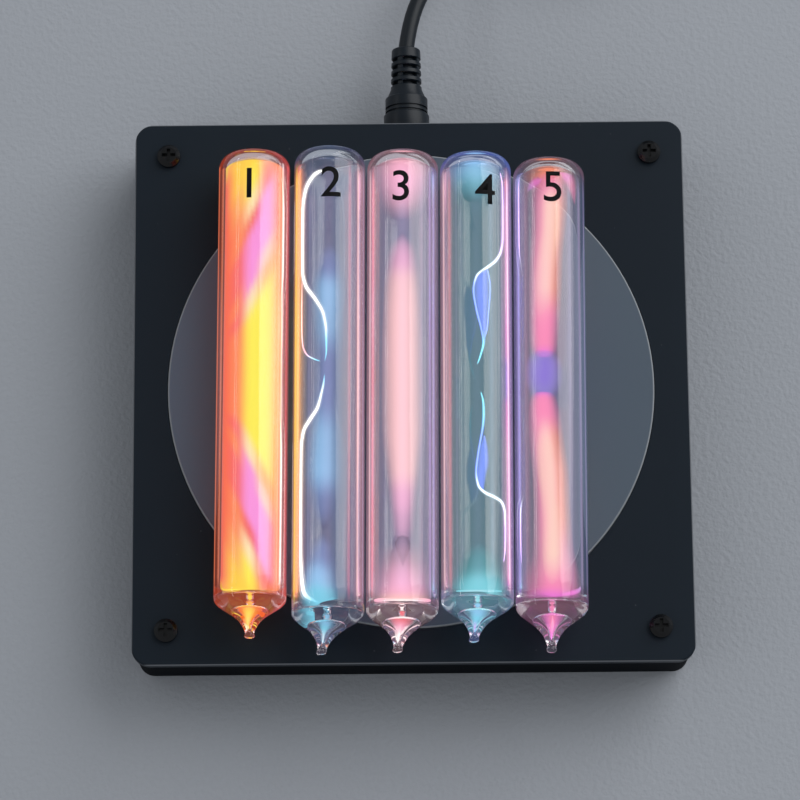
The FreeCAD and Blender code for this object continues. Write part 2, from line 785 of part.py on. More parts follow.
def make_choke():
    core = new_body("choke_core")
    place(core, "choke_x", "choke_y", "%s + choke_wire + choke_fit" % board_top)
    ring = new_sketch(core, "core_ring_outline")
    add_circle(ring, "0", "0", "choke_diameter")
    add_circle(ring, "0", "0", "choke_bore")
    pad(core, ring, "choke_height", "core_ring")

    winding = new_body("choke_winding")
    place(winding, "choke_x", "choke_y", board_top)
    inner, outer = "choke_bore / 2 - choke_fit", "choke_diameter / 2 + choke_fit"
    low, high = "choke_wire", "choke_height + choke_wire + 2 * choke_fit"
    turns = new_sketch(winding, "turns_profile", "XZ_Plane")
    add_outline(turns, [
        (inner + " - choke_wire", "0"), (outer + " + choke_wire", "0"),
        (outer + " + choke_wire", high + " + choke_wire"),
        (inner + " - choke_wire", high + " + choke_wire"),
    ])
    add_outline(turns, [(inner, low), (inner, high), (outer, high), (outer, low)])
    revolve(winding, turns, "turns", "V_Axis", "choke_turn_angle")


def make_resistors():
    body = new_body("bleed_resistors")
    place(body, "resistor_x", "resistor_y", "%s + resistor_cap / 2" % board_top)
    for number in range(2):
        row = "%d * resistor_pitch" % number
        for name, span, width in (("core", "resistor_length", "resistor_diameter"),
                                  ("lead", "resistor_lead_span", "resistor_lead")):
            outline = new_sketch(body, "%s_%d" % (name, number), "YZ_Plane")
            add_circle(outline, row, "0", width)
            pad(body, outline, span, "%s_pad_%d" % (name, number), midplane=True)
        for side in (-1, 1):
            end = "%d * ((resistor_length - resistor_cap_length) / 2 - resistor_cap_inset)" % side
            cap = new_sketch(body, "cap_%d_%d" % (number, side + 1), "YZ_Plane", offset=end)
            add_circle(cap, row, "0", "resistor_cap")
            pad(body, cap, "resistor_cap_length", "cap_pad_%d_%d" % (number, side + 1),
                midplane=True)
            foot = new_sketch(body, "foot_%d_%d" % (number, side + 1))
            add_rectangle(foot, "%d * (resistor_lead_span - resistor_lead) / 2" % side, row,
                          "resistor_lead", "resistor_lead")
            pad(body, foot, "resistor_cap / 2", "foot_pad_%d_%d" % (number, side + 1),
                reversed=True)


# Power jack, open to the back, with its centre pin and the spring that touches the barrel.
def make_jack():
    body = new_body("power_jack")
    place(body, "jack_x", tray_half, plug_axis)
    block = new_sketch(body, "jack_block_outline", "XZ_Plane")
    add_rectangle(block, "0", "jack_height / 2 - jack_axis_height", "jack_width",
                  "jack_height")
    pad(body, block, "jack_length", "jack_block")
    bore = new_sketch(body, "jack_bore_outline", "XZ_Plane")
    add_circle(bore, "0", "0", "jack_bore")
    pocket(body, bore, "jack_bore_depth", "jack_room", reversed=True)
    seat = new_sketch(body, "pin_seat_outline", "XZ_Plane")
    add_circle(seat, "0", "0", "jack_pin")
    pocket(body, seat, "jack_length", "pin_seat", reversed=True)
    slot = new_sketch(body, "spring_slot_outline", "XZ_Plane", offset="spring_slot_start")
    slot_reach = "(jack_bore / 2 + spring_slot_depth)"
    add_rectangle(slot, "0", "-%s / 2" % slot_reach, "spring_width + 2 * spring_side_gap",
                  slot_reach)
    pocket(body, slot, "jack_bore_depth - spring_slot_start", "spring_slot", reversed=True)


def make_jack_pin():
    body = new_body("jack_pin")
    place(body, "jack_x", tray_half, plug_axis)
    profile = new_sketch(body, "pin_profile")
    r, tip = "jack_pin / 2", "-jack_pin_recess"
    add_outline(profile, [
        ("0", "-jack_length"), (r, "-jack_length"), (r, tip + " - jack_pin_taper"),
        (r + " - jack_pin_nose", tip), ("0", tip),
    ])
    revolve(body, profile, "pin")


def make_jack_spring():
    body = new_body("jack_spring_contact")
    place(body, "jack_x", tray_half, plug_axis)
    low = "(-jack_bore / 2 - spring_slot_depth + spring_gap / 2)"
    touch = "(-barrel_diameter / 2 - spring_gap - spring_thickness)"
    line = [("-jack_bore_depth", low), ("-spring_foot", low), ("-spring_touch_back", touch),
            ("-spring_touch_front", touch), ("-spring_front", low)]
    profile = new_sketch(body, "spring_profile", "YZ_Plane")
    raised = [(along, level + " + spring_thickness") for along, level in line]
    add_outline(profile, line + raised[::-1])
    pad(body, profile, "spring_width", "spring", midplane=True)


# Power plug. Its grip is one moulding: flange, body, shoulder and a slotted strain relief.
def make_plug_grip():
    body = new_body("plug_grip")
    place(body, "jack_x", plug_face, plug_axis)
    flange, groove, barrel = "plug_flange / 2", "plug_groove / 2", "plug_body / 2"
    first = "plug_flange_length"
    taper_end = "(plug_body_length + plug_taper_length)"
    profile = new_sketch(body, "grip_profile")
    add_outline(profile, [
        ("0", "0"), (flange + " - plug_edge", "0"), (flange, "plug_edge"),
        (flange, first + " - plug_edge"), (flange + " - plug_edge", first), (groove, first),
        (groove, first + " + plug_groove_width"),
        (barrel, first + " + plug_groove_width"),
        (barrel, first + " + 2 * plug_groove_width"),
        (groove, first + " + 2 * plug_groove_width"),
        (groove, first + " + 3 * plug_groove_width"),
        (barrel, first + " + 3 * plug_groove_width"),
        (barrel, "plug_body_length - plug_edge"), (barrel + " - plug_edge", "plug_body_length"),
        ("relief_start / 2", taper_end),
        ("relief_end / 2", taper_end + " + relief_length - plug_edge"),
        ("relief_end / 2 - plug_edge", taper_end + " + relief_length"),
        ("0", taper_end + " + relief_length"),
    ])
    revolve(body, profile, "grip")

    # Slots of the strain relief, cut from the sides and from above and below in turn.
    side = "relief_start"
    for name, plane, count, start in (
            ("flat", "XY_Plane", 3, "relief_first_slot"),
            ("upright", "YZ_Plane", 2, "relief_first_slot + relief_pitch")):
        slots = new_sketch(body, name + "_slot_outline", plane)
        along = "%s + %s + relief_slot / 2" % (taper_end, start)
        for way in (-1, 1):
            across = "%d * (relief_bridge + %s) / 2" % (way, side)
            if name == "flat":
                add_rectangle(slots, across, along, side, "relief_slot")
            else:
                add_rectangle(slots, along, across, "relief_slot", side)
        one = pocket(body, slots, "2 * relief_start", name + "_slot", midplane=True)
        reach = "%d * relief_pitch" % (2 * (count - 1))
        finish_feature(body, repeat(body, [one], name + "_slots", "Y_Axis", reach, count),
                       False)

    seat = new_sketch(body, "barrel_seat_outline", "XZ_Plane")
    add_circle(seat, "0", "0", "barrel_diameter")
    pocket(body, seat, "barrel_seat", "barrel_room")


def make_plug_contact(label, outer, inner, recess, seat):
    body = new_body(label)
    place(body, "jack_x", plug_face, plug_axis)
    profile = new_sketch(body, label + "_profile")
    end = "-barrel_length + %s" % recess
    add_outline(profile, [
        (inner, end), (outer + " - contact_edge", end), (outer, end + " + contact_edge"),
        (outer, seat),
        (inner, seat),
    ])
    revolve(body, profile, label + "_sleeve")


# The cord follows straight runs joined by tangent arcs as large as the runs allow.
plug_end = "(%s + plug_body_length + plug_taper_length + relief_length)" % plug_face
coil_outer = "(coil_mean_diameter / 2 + (coil_turns_across - 1) / 2 * cord_diameter)"
cord_low = "(tie_thickness + cord_diameter / 2)"
coil_width = "(coil_turns_across * cord_diameter)"
coil_height = "(coil_layers * cord_diameter)"
far_turn = math.radians(value("far_plug_turn"))


def cord_route():
    start = (value("jack_x"), value(plug_end), value(plug_axis))
    bends = [(0.6, 87.5, 10.6), (4.6, 96.3, 8.9), (9.0, 105.0, 5.4), (11.6, 113.8, 3.1),
             (12.3, 123.0, 2.35)]
    join = (value("coil_x - %s" % coil_outer), value("coil_y"), value(cord_low))
    return [start] + bends + [join]


def tail_route():
    ahead = FreeCAD.Vector(math.cos(far_turn), math.sin(far_turn), 0)
    aside = FreeCAD.Vector(-math.sin(far_turn), math.cos(far_turn), 0)
    run = ahead * value("tail_run")
    upper = value("%s + (coil_layers - 1) * cord_diameter" % cord_low)
    middle = FreeCAD.Vector(value("coil_x"), value("coil_y"), upper)
    start = middle + aside * value(coil_outer)
    first_bend = start + run - FreeCAD.Vector(0, 0, value("tail_first_drop"))
    end = start + run * 3
    end.z = value("far_grip_height / 2")
    return [tuple(point) for point in (start, first_bend, end - run, end)]


def path_with_arcs(points, report):
    points = [FreeCAD.Vector(*point) for point in points]
    edges, last = [], points[0]
    for before, corner, after in zip(points, points[1:], points[2:]):
        into, out = corner - before, after - corner
        turn = into.getAngle(out)
        back = arc_share * min(into.Length, out.Length)
        start = corner - into.normalize() * back
        end = corner + out.normalize() * back
        radius = back / math.tan(turn / 2)
        inward = (start - corner).normalize() + (end - corner).normalize()
        reach = radius / math.cos(turn / 2) - radius
        middle = corner + inward.normalize() * reach
        edges += [Part.LineSegment(last, start).toShape(), Part.Arc(start, middle, end).toShape()]
        last = end
        if report:
            print("bend radius %.1f mm" % radius)
    edges.append(Part.LineSegment(last, points[-1]).toShape())
    return Part.Wire(edges)


def tube_along(points, diameter, report=False):
    path = path_with_arcs(points, report)
    start = FreeCAD.Vector(*points[0])
    ahead = FreeCAD.Vector(*points[1]) - start
    ring = Part.Wire(Part.Circle(start, ahead, diameter / 2).toShape())
    solid = path.makePipeShell([ring], True, False)
    expected = math.pi * diameter ** 2 / 4 * path.Length
    if abs(solid.Volume - expected) > volume_tolerance * expected:
        raise RuntimeError("a tube's volume is %.3f, not %.3f" % (solid.Volume, expected))
    return solid


def make_tubes_of_cord():
    for label, route in (("power_cord", cord_route()), ("cord_tail", tail_route())):
        cord = doc.addObject("Part::Feature", label)
        cord.Shape = tube_along(route, value("cord_diameter"), report=True)
        keep(cord, label)


def make_wires():
    level, pad_level = value(plug_axis), value(board_top)
    inner_end = value("%s - jack_length" % tray_half)
    pair = []
    high, end = level + value("wire_rise"), value("board_back - wire_end_inset")
    for side in (-1, 1):
        x = value("jack_x") + side * value("wire_spread")
        fanned = x + side * value("wire_fan")
        pair.append(tube_along([
            (x, inner_end, high), (x, inner_end - value("wire_first_run"), high),
            (fanned, end, high - value("wire_drop")), (fanned, end, pad_level),
        ], value("wire_diameter")))
    wires = doc.addObject("Part::Feature", "power_wires")
    wires.Shape = Part.makeCompound(pair)
    keep(wires, "power_wires")

    x, y = value("transformer_x + core_width / 2 + feed_clearance"), value("transformer_y")
    top = value("%s - electrode_thickness" % disc_under)
    feed = doc.addObject("Part::Feature", "electrode_feed_wire")
    middle, jog = (top + pad_level) / 2, value("feed_jog")
    feed.Shape = tube_along([
        (x, y, pad_level), (x, y, middle - jog / 2), (x + jog, y, middle + jog / 2),
        (x + jog, y, top),
    ], value("feed_diameter"))
    keep(feed, "electrode_feed_wire")


# The coil's section is a flat bundle with bevelled corners; the tie goes once round it.
def add_bundle(sketch, grow):
    half_x, half_y = "(%s / 2 + %s)" % (coil_width, grow), "(%s / 2 + %s)" % (coil_height, grow)
    quarter = [(half_x + " - coil_edge", half_y), (half_x, half_y + " - coil_edge")]
    outline = quarter + [(x, "-(%s)" % y) for x, y in quarter[::-1]]
    outline += [("-(%s)" % x, "-(%s)" % y) for x, y in quarter]
    outline += [("-(%s)" % x, y) for x, y in quarter[::-1]]
    add_outline(sketch, [("coil_mean_diameter / 2 + %s" % x, "%s / 2 + %s" % (coil_height, y))
                         for x, y in outline])


def make_coil():
    body = new_body("cord_coil")
    place(body, "coil_x", "coil_y", "tie_thickness")
    section = new_sketch(body, "coil_section", "XZ_Plane")
    add_bundle(section, "0")
    revolve(body, section, "coil")


def make_tie():
    body = new_body("cord_tie")
    place(body, "coil_x", "coil_y", "tie_thickness", angle="tie_angle")
    wrap = new_sketch(body, "tie_outline", "XZ_Plane")
    add_bundle(wrap, "tie_thickness")
    pad(body, wrap, "tie_width", "tie_block", midplane=True)
    room = new_sketch(body, "tie_room_outline", "XZ_Plane")
    add_bundle(room, "0")
    revolve(body, room, "tie_room", cut=True)


# Plug at the cord's far end, lying flat on the floor.
def far_plug_place(body):
    end = tail_route()[-1]
    body.Placement = FreeCAD.Placement(
        FreeCAD.Vector(*end), FreeCAD.Rotation(FreeCAD.Vector(0, 0, 1), value("far_plug_turn")))


def make_far_plug():
    grip = new_body("far_plug_grip")
    far_plug_place(grip)
    block = new_sketch(grip, "far_grip_outline", "YZ_Plane", offset="far_relief_length")
    add_rounded(block, "far_grip_width", "far_grip_height", "far_grip_round")
    pad(grip, block, "far_grip_length", "far_grip_block")
    relief = new_sketch(grip, "far_relief_profile")
    root = "far_relief_length + far_relief_root"
    add_outline(relief, [
        ("0", "0"), ("0", "far_relief_end / 2"),
        ("far_relief_length", "far_relief_start / 2"),
        (root, "far_relief_start / 2"), (root, "0"),
    ])
    revolve(grip, relief, "far_relief", "H_Axis")
    grip_end = "(far_relief_length + far_grip_length)"
    seat = new_sketch(grip, "shell_seat_outline", "YZ_Plane", offset=grip_end)
    add_rectangle(seat, "0", "0", "shell_width", "shell_height")
    pocket(grip, seat, "shell_seat", "shell_seat_room")

    shell = new_body("far_plug_shell")
    far_plug_place(shell)
    start = "(%s - shell_seat)" % grip_end
    outer = new_sketch(shell, "shell_outline", "YZ_Plane", offset=start)
    add_rectangle(outer, "0", "0", "shell_width", "shell_height")
    add_rectangle(outer, "0", "0", "shell_width - 2 * shell_wall",
                  "shell_height - 2 * shell_wall")
    pad(shell, outer, "shell_length + shell_seat", "shell_sleeve")
    windows = new_sketch(shell, "window_outlines")
    for side in (-1, 1):
        add_rectangle(windows, grip_end + " + shell_window_place",
                      "%d * shell_window_pitch / 2" % side, "shell_window", "shell_window")
    pocket(shell, windows, "2 * shell_height", "shell_windows", midplane=True)

    tongue = new_body("far_plug_tongue")
    far_plug_place(tongue)
    bar = new_sketch(tongue, "tongue_outline", "YZ_Plane", offset=start)
    add_rectangle(bar, "0", "shell_height / 2 - shell_wall - tongue_thickness / 2",
                  "shell_width - 2 * shell_wall", "tongue_thickness")
    pad(tongue, bar, "shell_length + shell_seat - tongue_recess", "tongue_bar")
    back = new_sketch(tongue, "tongue_root_outline", "YZ_Plane", offset=start)
    add_rectangle(back, "0", "0", "shell_width - 2 * shell_wall",
                  "shell_height - 2 * shell_wall")
    pad(tongue, back, "shell_seat", "tongue_root")


# Sealed glass tubes. Each has a straight hollow body, a rounded flat end and a drawn tip
# that is pulled a little to one side. The shares run from the shoulder to the tip's end.
tip_outside = [(0.0, 1.0), (0.10, 0.985), (0.22, 0.88), (0.37, 0.63), (0.49, 0.42),
               (0.60, 0.285), (0.74, 0.185), (0.86, 0.13), (0.94, 0.12), (0.985, 0.085),
               (1.0, 0.04)]
tip_inside = [(0.0, 1.0), (0.10, 0.96), (0.20, 0.80), (0.32, 0.52), (0.44, 0.26),
              (0.56, 0.09)]


def tip_sections(body, label, name, shares, radius):
    sections = []
    for number, (along, width) in enumerate(shares):
        offset = "%.3f * %s_tip_length" % (along, label)
        ring = new_sketch(body, "%s_%d" % (name, number), "XZ_Plane", offset=offset)
        lean = "%.4f * %s_tip_offset" % (along ** 1.5, label)
        add_circle(ring, lean, "0", "2 * %.4f * %s" % (width, radius))
        sections.append(ring)
    return sections


def on_ring(edge, radius, level):
    box = edge.BoundBox
    flat = abs(box.YMin - level) < touching and abs(box.YMax - level) < touching
    return flat and abs(box.XLength - 2 * radius) < same_size


def make_tube(label):
    body = new_body(label)
    outer, inner = "tube_diameter / 2", "(tube_diameter / 2 - glass_thickness)"
    length = "(%s_dome_y - %s_shoulder_y)" % (label, label)
    room_length = "(%s - end_glass)" % length

    profile = new_sketch(body, label + "_profile")
    add_outline(profile, [("0", "0"), (outer, "0"), (outer, length), ("0", length)])
    revolve(body, profile, label + "_cylinder")
    soften(body, lambda edge: on_ring(edge, value(outer), value(length)), "end_round",
           label + "_end")
    loft(body, tip_sections(body, label, label + "_ring", tip_outside, outer), label + "_tip")

    room = new_sketch(body, label + "_room_profile")
    add_outline(room, [
        ("0", "0"), (inner, "0"), (inner, room_length), ("pip_radius + pip_depth", room_length),
        ("pip_radius", room_length + " - pip_depth"), ("0", room_length + " - pip_depth"),
    ])
    revolve(body, room, label + "_room", cut=True)
    soften(body, lambda edge: on_ring(edge, value(inner), value(room_length)),
           "end_round - glass_thickness / 2", label + "_room_end")
    loft(body, tip_sections(body, label, label + "_hollow", tip_inside, inner),
         label + "_tip_hollow", cut=True)

    lift = "%s + tube_rest_gap + tube_diameter / 2" % disc_top
    from_middle = "(tube_middle_y - %s_shoulder_y)" % label
    place(body, "%s_x - %s * tan(%s_turn)" % (label, from_middle, label),
          "%s_shoulder_y" % label, lift, angle="-%s_turn" % label)


def check_and_write():
    doc.recompute()
    for item in doc.Objects:
        if "Invalid" in item.State or "Error" in item.State:
            raise RuntimeError("%s is %s" % (item.Label, item.State))
    os.makedirs("parts", exist_ok=True)
    for piece in pieces:
        shape = piece.Shape
        if shape.isNull() or not shape.isValid() or not shape.Solids:
            raise RuntimeError("%s has no valid solid" % piece.Label)
        shape.exportStep("parts/%s.step" % piece.Label)
    print("%d pieces written" % len(pieces))


make_tray()
make_feet()
make_lid()
make_screws("lid_screws", lid_screw_places, lid_top, "lid_screw_length", crossed=True)
make_disc()
make_electrode()
make_board()
make_screws("board_screws", board_screw_places, board_top, "board_screw_length")
make_transformer()
make_heat_sink()
make_transistor()
make_screws("transistor_screw", transistor_screw_place, tab_top, "tab_thickness + sink_base")
make_capacitor()
make_film_capacitors()
make_choke()
make_resistors()
make_jack()
make_jack_pin()
make_jack_spring()
make_wires()
make_plug_grip()
make_plug_contact("plug_barrel", "barrel_diameter / 2", "barrel_bore / 2", "0", "barrel_seat")
make_plug_contact("plug_insulator", "barrel_bore / 2", "contact_bore / 2",
                  "insulator_recess", "barrel_seat")
make_tubes_of_cord()
make_coil()
make_tie()
make_far_plug()
for tube in ("neon_tube", "krypton_tube", "helium_tube", "xenon_tube", "argon_tube"):
    make_tube(tube)
check_and_write()
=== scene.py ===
import bpy
import bmesh
import math
from mathutils import Matrix, Vector


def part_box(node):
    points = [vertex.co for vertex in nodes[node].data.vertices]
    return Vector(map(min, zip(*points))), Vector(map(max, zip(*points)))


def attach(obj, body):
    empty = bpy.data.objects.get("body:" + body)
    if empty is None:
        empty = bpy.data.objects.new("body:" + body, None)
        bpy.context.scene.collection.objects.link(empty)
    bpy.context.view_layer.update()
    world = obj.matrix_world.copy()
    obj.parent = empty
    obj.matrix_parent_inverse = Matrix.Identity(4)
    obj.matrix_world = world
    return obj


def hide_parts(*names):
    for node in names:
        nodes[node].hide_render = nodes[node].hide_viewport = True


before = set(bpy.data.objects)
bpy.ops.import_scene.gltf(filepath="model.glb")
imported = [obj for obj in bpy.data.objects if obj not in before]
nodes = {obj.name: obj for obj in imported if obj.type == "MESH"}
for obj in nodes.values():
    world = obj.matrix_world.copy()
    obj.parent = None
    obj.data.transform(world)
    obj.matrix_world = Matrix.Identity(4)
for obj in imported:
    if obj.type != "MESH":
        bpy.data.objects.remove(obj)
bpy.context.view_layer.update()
scene = bpy.context.scene
scene.view_settings.view_transform = "Standard"
mm = 0.001


def point(x, y, z):
    return Vector((x * mm, y * mm, z * mm))


def rgb(red, green, blue, alpha=1.0):
    # screen colour, 0 to 255, as the linear colour that a socket takes
    def linear(level):
        share = level / 255
        return share / 12.92 if share <= 0.04045 else ((share + 0.055) / 1.055) ** 2.4
    return (linear(red), linear(green), linear(blue), alpha)


def addObject(name, mesh):
    item = bpy.data.objects.new(name, mesh)
    scene.collection.objects.link(item)
    return item


# Camera, at the photograph's place
print("camera")
viewpoint = {"place": (-0.0018346, -0.1795370, 0.7625164),
             "turn": (0.2336916, 0.0028798, -0.0087764),
             "lens": 159.366, "sensor": 36.0}
cameraData = bpy.data.cameras.new("camera")
cameraData.lens = viewpoint["lens"]
cameraData.sensor_width = viewpoint["sensor"]
camera = addObject("camera", cameraData)
camera.location = viewpoint["place"]
camera.rotation_euler = viewpoint["turn"]
scene.camera = camera

# Power cord: out of the strain relief, down to the floor, then a tied coil out of view
print("cord")
cordSpec = {
    "diameter": 3.5,
    "route": [(-0.4, 79.7, 10.8), (0.6, 87.5, 10.6), (4.6, 96.3, 8.9), (9.0, 105.0, 5.4),
              (11.6, 113.8, 3.1), (12.3, 123.0, 2.35)],
    "coilMiddle": (40.3, 131.0),
    "coilMeanRadius": 21.0,
    "turnsAcross": 5,
    "lowLevel": 2.35,
    "startAngle": 180.0,
    "climbAngle": 130.0,
    "pointsPerTurn": 24,
    "tailHeading": -40.0,
    "tailRun": 6.0,
    "tailDrop": 0.3,
    "farPlugLevel": 4.0,
    "length": 1.155,
}


def coilPoints(spec):
    # inwards on the floor, up at the middle, then outwards on top
    pitch = spec["diameter"]
    turnsIn = spec["turnsAcross"] - 1
    outer = spec["coilMeanRadius"] + turnsIn * pitch / 2
    climbTurns = spec["climbAngle"] / 360
    total = 2 * turnsIn + climbTurns
    steps = round(total * spec["pointsPerTurn"])
    spread = 1 / math.cos(math.pi / spec["pointsPerTurn"])
    points = []
    for step in range(steps + 1):
        turns = total * step / steps
        inward = min(turns, turnsIn)
        outward = max(0.0, turns - turnsIn - climbTurns)
        radius = (outer - pitch * (inward - outward)) * spread
        lift = min(1.0, max(0.0, (turns - turnsIn) / climbTurns))
        angle = math.radians(spec["startAngle"] - 360 * turns)
        points.append((spec["coilMiddle"][0] + radius * math.cos(angle),
                       spec["coilMiddle"][1] + radius * math.sin(angle),
                       spec["lowLevel"] + pitch * lift))
    return points


def tailPoints(spec, start):
    heading = math.radians(spec["tailHeading"])
    run = spec["tailRun"]
    levels = [start[2] - spec["tailDrop"], spec["farPlugLevel"], spec["farPlugLevel"]]
    return [(start[0] + run * (number + 1) * math.cos(heading),
             start[1] + run * (number + 1) * math.sin(heading), level)
            for number, level in enumerate(levels)]


def makeCord(spec):
    coil = coilPoints(spec)
    route = spec["route"] + coil + tailPoints(spec, coil[-1])
    curve = bpy.data.curves.new("power_lead_cord", "CURVE")
    curve.dimensions = "3D"
    curve.bevel_depth = spec["diameter"] / 2 * mm
    curve.bevel_resolution = 5
    curve.resolution_u = 5
    curve.use_fill_caps = True
    spline = curve.splines.new("NURBS")
    spline.points.add(len(route) - 1)
    for target, place in zip(spline.points, route):
        target.co = (*point(*place), 1.0)
    spline.order_u = 3
    spline.use_endpoint_u = True
    return addObject("power_lead_cord", curve)


cord = makeCord(cordSpec)

# Shader groups. They put out only colours, masks and heights that change over the surface
print("shader groups")


def newGroup(name, inputs, outputs):
    group = bpy.data.node_groups.new(name, "ShaderNodeTree")
    for title, kind, start in inputs:
        socket = group.interface.new_socket(title, in_out="INPUT", socket_type=kind)
        if start is not None:
            socket.default_value = start
    for title, kind in outputs:
        group.interface.new_socket(title, in_out="OUTPUT", socket_type=kind)
    return group, group.nodes.new("NodeGroupInput"), group.nodes.new("NodeGroupOutput")


def fillInputs(tree, node, inputs):
    # an input is named by its number, as in i0, or by its title with _ for a space
    for name, source in inputs.items():
        isNumber = name[0] == "i" and name[1:].isdigit()
        socket = node.inputs[int(name[1:]) if isNumber else name.replace("_", " ")]
        if isinstance(source, bpy.types.NodeSocket):
            tree.links.new(source, socket)
        else:
            socket.default_value = source


def addNode(tree, kind, settings=None, **inputs):
    node = tree.nodes.new(kind)
    for name, setting in (settings or {}).items():
        setattr(node, name, setting)
    fillInputs(tree, node, inputs)
    return node


def calculate(tree, operation, *values):
    node = addNode(tree, "ShaderNodeMath", {"operation": operation})
    fillInputs(tree, node, {"i%d" % number: value for number, value in enumerate(values)})
    return node.outputs[0]


def mapRange(tree, source, low, high, toLow=0.0, toHigh=1.0):
    return addNode(tree, "ShaderNodeMapRange", i0=source, From_Min=low, From_Max=high,
                   To_Min=toLow, To_Max=toHigh).outputs[0]


def mixColours(tree, share, first, second):
    return addNode(tree, "ShaderNodeMix", {"data_type": "RGBA"}, i0=share, i6=first,
                   i7=second).outputs[2]


def noise(tree, place, scale, detail, **more):
    return addNode(tree, "ShaderNodeTexNoise", Vector=place, Scale=scale, Detail=detail,
                   **more).outputs["Fac"]


def stretched(tree, place, scales):
    return addNode(tree, "ShaderNodeMapping", Vector=place, Scale=scales).outputs[0]


def darker(colour, share):
    return tuple(part * share for part in colour[:3]) + (1,)


def makeMouldedGroup():
    # fine tooth and soft blotches of a moulded or machined surface, with a little dust
    group, given, result = newGroup(
        "mouldedSurface",
        [("Place", "NodeSocketVector", None), ("Colour", "NodeSocketColor", None),
         ("Blotch", "NodeSocketFloat", 0.1), ("Tooth Scale", "NodeSocketFloat", 2000.0),
         ("Roughness", "NodeSocketFloat", 0.5), ("Roughness Spread", "NodeSocketFloat", 0.08),
         ("Dust", "NodeSocketFloat", 0.0)],
        [("Colour", "NodeSocketColor"), ("Roughness", "NodeSocketFloat"),
         ("Height", "NodeSocketFloat")])
    place = given.outputs["Place"]
    tooth = noise(group, place, given.outputs["Tooth Scale"], 3.0, Roughness=0.6)
    clouds = noise(group, place, 38.0, 4.0, Roughness=0.55)
    specks = addNode(group, "ShaderNodeTexVoronoi", Vector=place, Scale=420.0, Randomness=1.0)
    dusty = mapRange(group, specks.outputs["Distance"], 0.09, 0.03)
    seldom = mapRange(group, specks.outputs["Color"], 0.72, 0.80)
    dust = calculate(group, "MULTIPLY", calculate(group, "MULTIPLY", dusty, seldom),
                     given.outputs["Dust"])
    change = mapRange(group, clouds, 0.0, 1.0, -1.0, 1.0)
    amount = calculate(group, "MULTIPLY_ADD", change, given.outputs["Blotch"], 1.0)
    shaded = addNode(group, "ShaderNodeVectorMath", {"operation": "SCALE"},
                     i0=given.outputs["Colour"], Scale=amount)
    rough = calculate(group, "MULTIPLY_ADD", change, given.outputs["Roughness Spread"],
                      given.outputs["Roughness"])
    fillInputs(group, result, dict(
        Colour=mixColours(group, dust, shaded.outputs[0], rgb(120, 122, 126)),
        Roughness=rough, Height=tooth))
    return group


mouldedGroup = makeMouldedGroup()


def newMaterial(name):
    material = bpy.data.materials.new(name)
    material.use_nodes = True
    shader = material.node_tree.nodes["Principled BSDF"]
    place = material.node_tree.nodes.new("ShaderNodeTexCoord")
    return material, material.node_tree, shader, place.outputs["Object"]


def addBump(tree, shader, height, distance, strength=1.0):
    bump = addNode(tree, "ShaderNodeBump", Height=height, Strength=strength, Distance=distance)
    tree.links.new(bump.outputs["Normal"], shader.inputs["Normal"])


def mouldedMaterial(name, colour, roughness=0.5, blotch=0.08, tooth=2000.0, depth=0.00002,
                    spread=0.06, dust=0.0, metallic=0.0, specular=0.5):
    material, tree, shader, place = newMaterial(name)
    surface = addNode(tree, "ShaderNodeGroup", {"node_tree": mouldedGroup}, Place=place,
                      Colour=colour, Blotch=blotch, Tooth_Scale=tooth, Roughness=roughness,
                      Roughness_Spread=spread, Dust=dust)
    fillInputs(tree, shader, dict(
        Base_Color=surface.outputs["Colour"], Roughness=surface.outputs["Roughness"],
        Metallic=metallic, Specular_IOR_Level=specular))
    addBump(tree, shader, surface.outputs["Height"], depth)
    return material


def dress(nodeName, material):
    item = nodes[nodeName]
    item.data.materials.clear()
    item.data.materials.append(material)


# Finishes of the pieces that keep their CAD shape
print("finishes")
boardScrew = dict(colour=rgb(190, 190, 192), roughness=0.28, metallic=1.0)
contact = dict(colour=rgb(205, 202, 196), roughness=0.2, metallic=1.0)
finishes = {
    "lower_housing": dict(colour=rgb(9, 13, 19), roughness=0.6, specular=0.02, dust=0.12),
    "rubber_feet": dict(colour=rgb(24, 24, 25), roughness=0.78, specular=0.3, tooth=3000.0),
    "power_jack": dict(colour=rgb(20, 20, 21), roughness=0.5),
    "far_plug_grip": dict(colour=rgb(15, 23, 31), roughness=0.4, specular=0.3, tooth=2600.0,
                          dust=0.1),
    "far_plug_tongue": dict(colour=rgb(232, 232, 230), roughness=0.35),
    "transformer_bobbin": dict(colour=rgb(30, 30, 31), roughness=0.45),
    "electrode_plate": dict(colour=rgb(222, 148, 110), roughness=0.3, metallic=1.0, blotch=0.18,
                            spread=0.12),
    "board_screws": boardScrew,
    "transistor_screw": boardScrew,
    "ferrite_core_left": dict(colour=rgb(58, 58, 62), roughness=0.6, blotch=0.2, tooth=1400.0,
                              depth=0.00005),
    "choke_core": dict(colour=rgb(66, 70, 66), roughness=0.45, blotch=0.15),
    "power_transistor": dict(colour=rgb(38, 38, 40), roughness=0.55, tooth=2400.0),
    "filter_capacitor": dict(colour=rgb(28, 34, 62), roughness=0.25, blotch=0.05),
    "resonant_capacitors": dict(colour=rgb(150, 44, 30), roughness=0.3, blotch=0.12),
    "bleed_resistors": dict(colour=rgb(120, 158, 176), roughness=0.35, blotch=0.15),
    "power_wires": dict(colour=rgb(150, 24, 20), roughness=0.35, blotch=0.1),
    "electrode_feed_wire": dict(colour=rgb(170, 168, 160), roughness=0.35, blotch=0.1),
    "jack_pin": contact,
    "jack_spring_contact": {**contact, "roughness": 0.24},
    "plug_barrel": contact,
    "plug_insulator": dict(colour=rgb(30, 30, 31), roughness=0.5),
    "far_plug_shell": dict(colour=rgb(200, 200, 203), roughness=0.26, metallic=1.0,
                           blotch=0.1),
}
for nodeName, settings in finishes.items():
    dress(nodeName, mouldedMaterial(nodeName + "_finish", **settings))
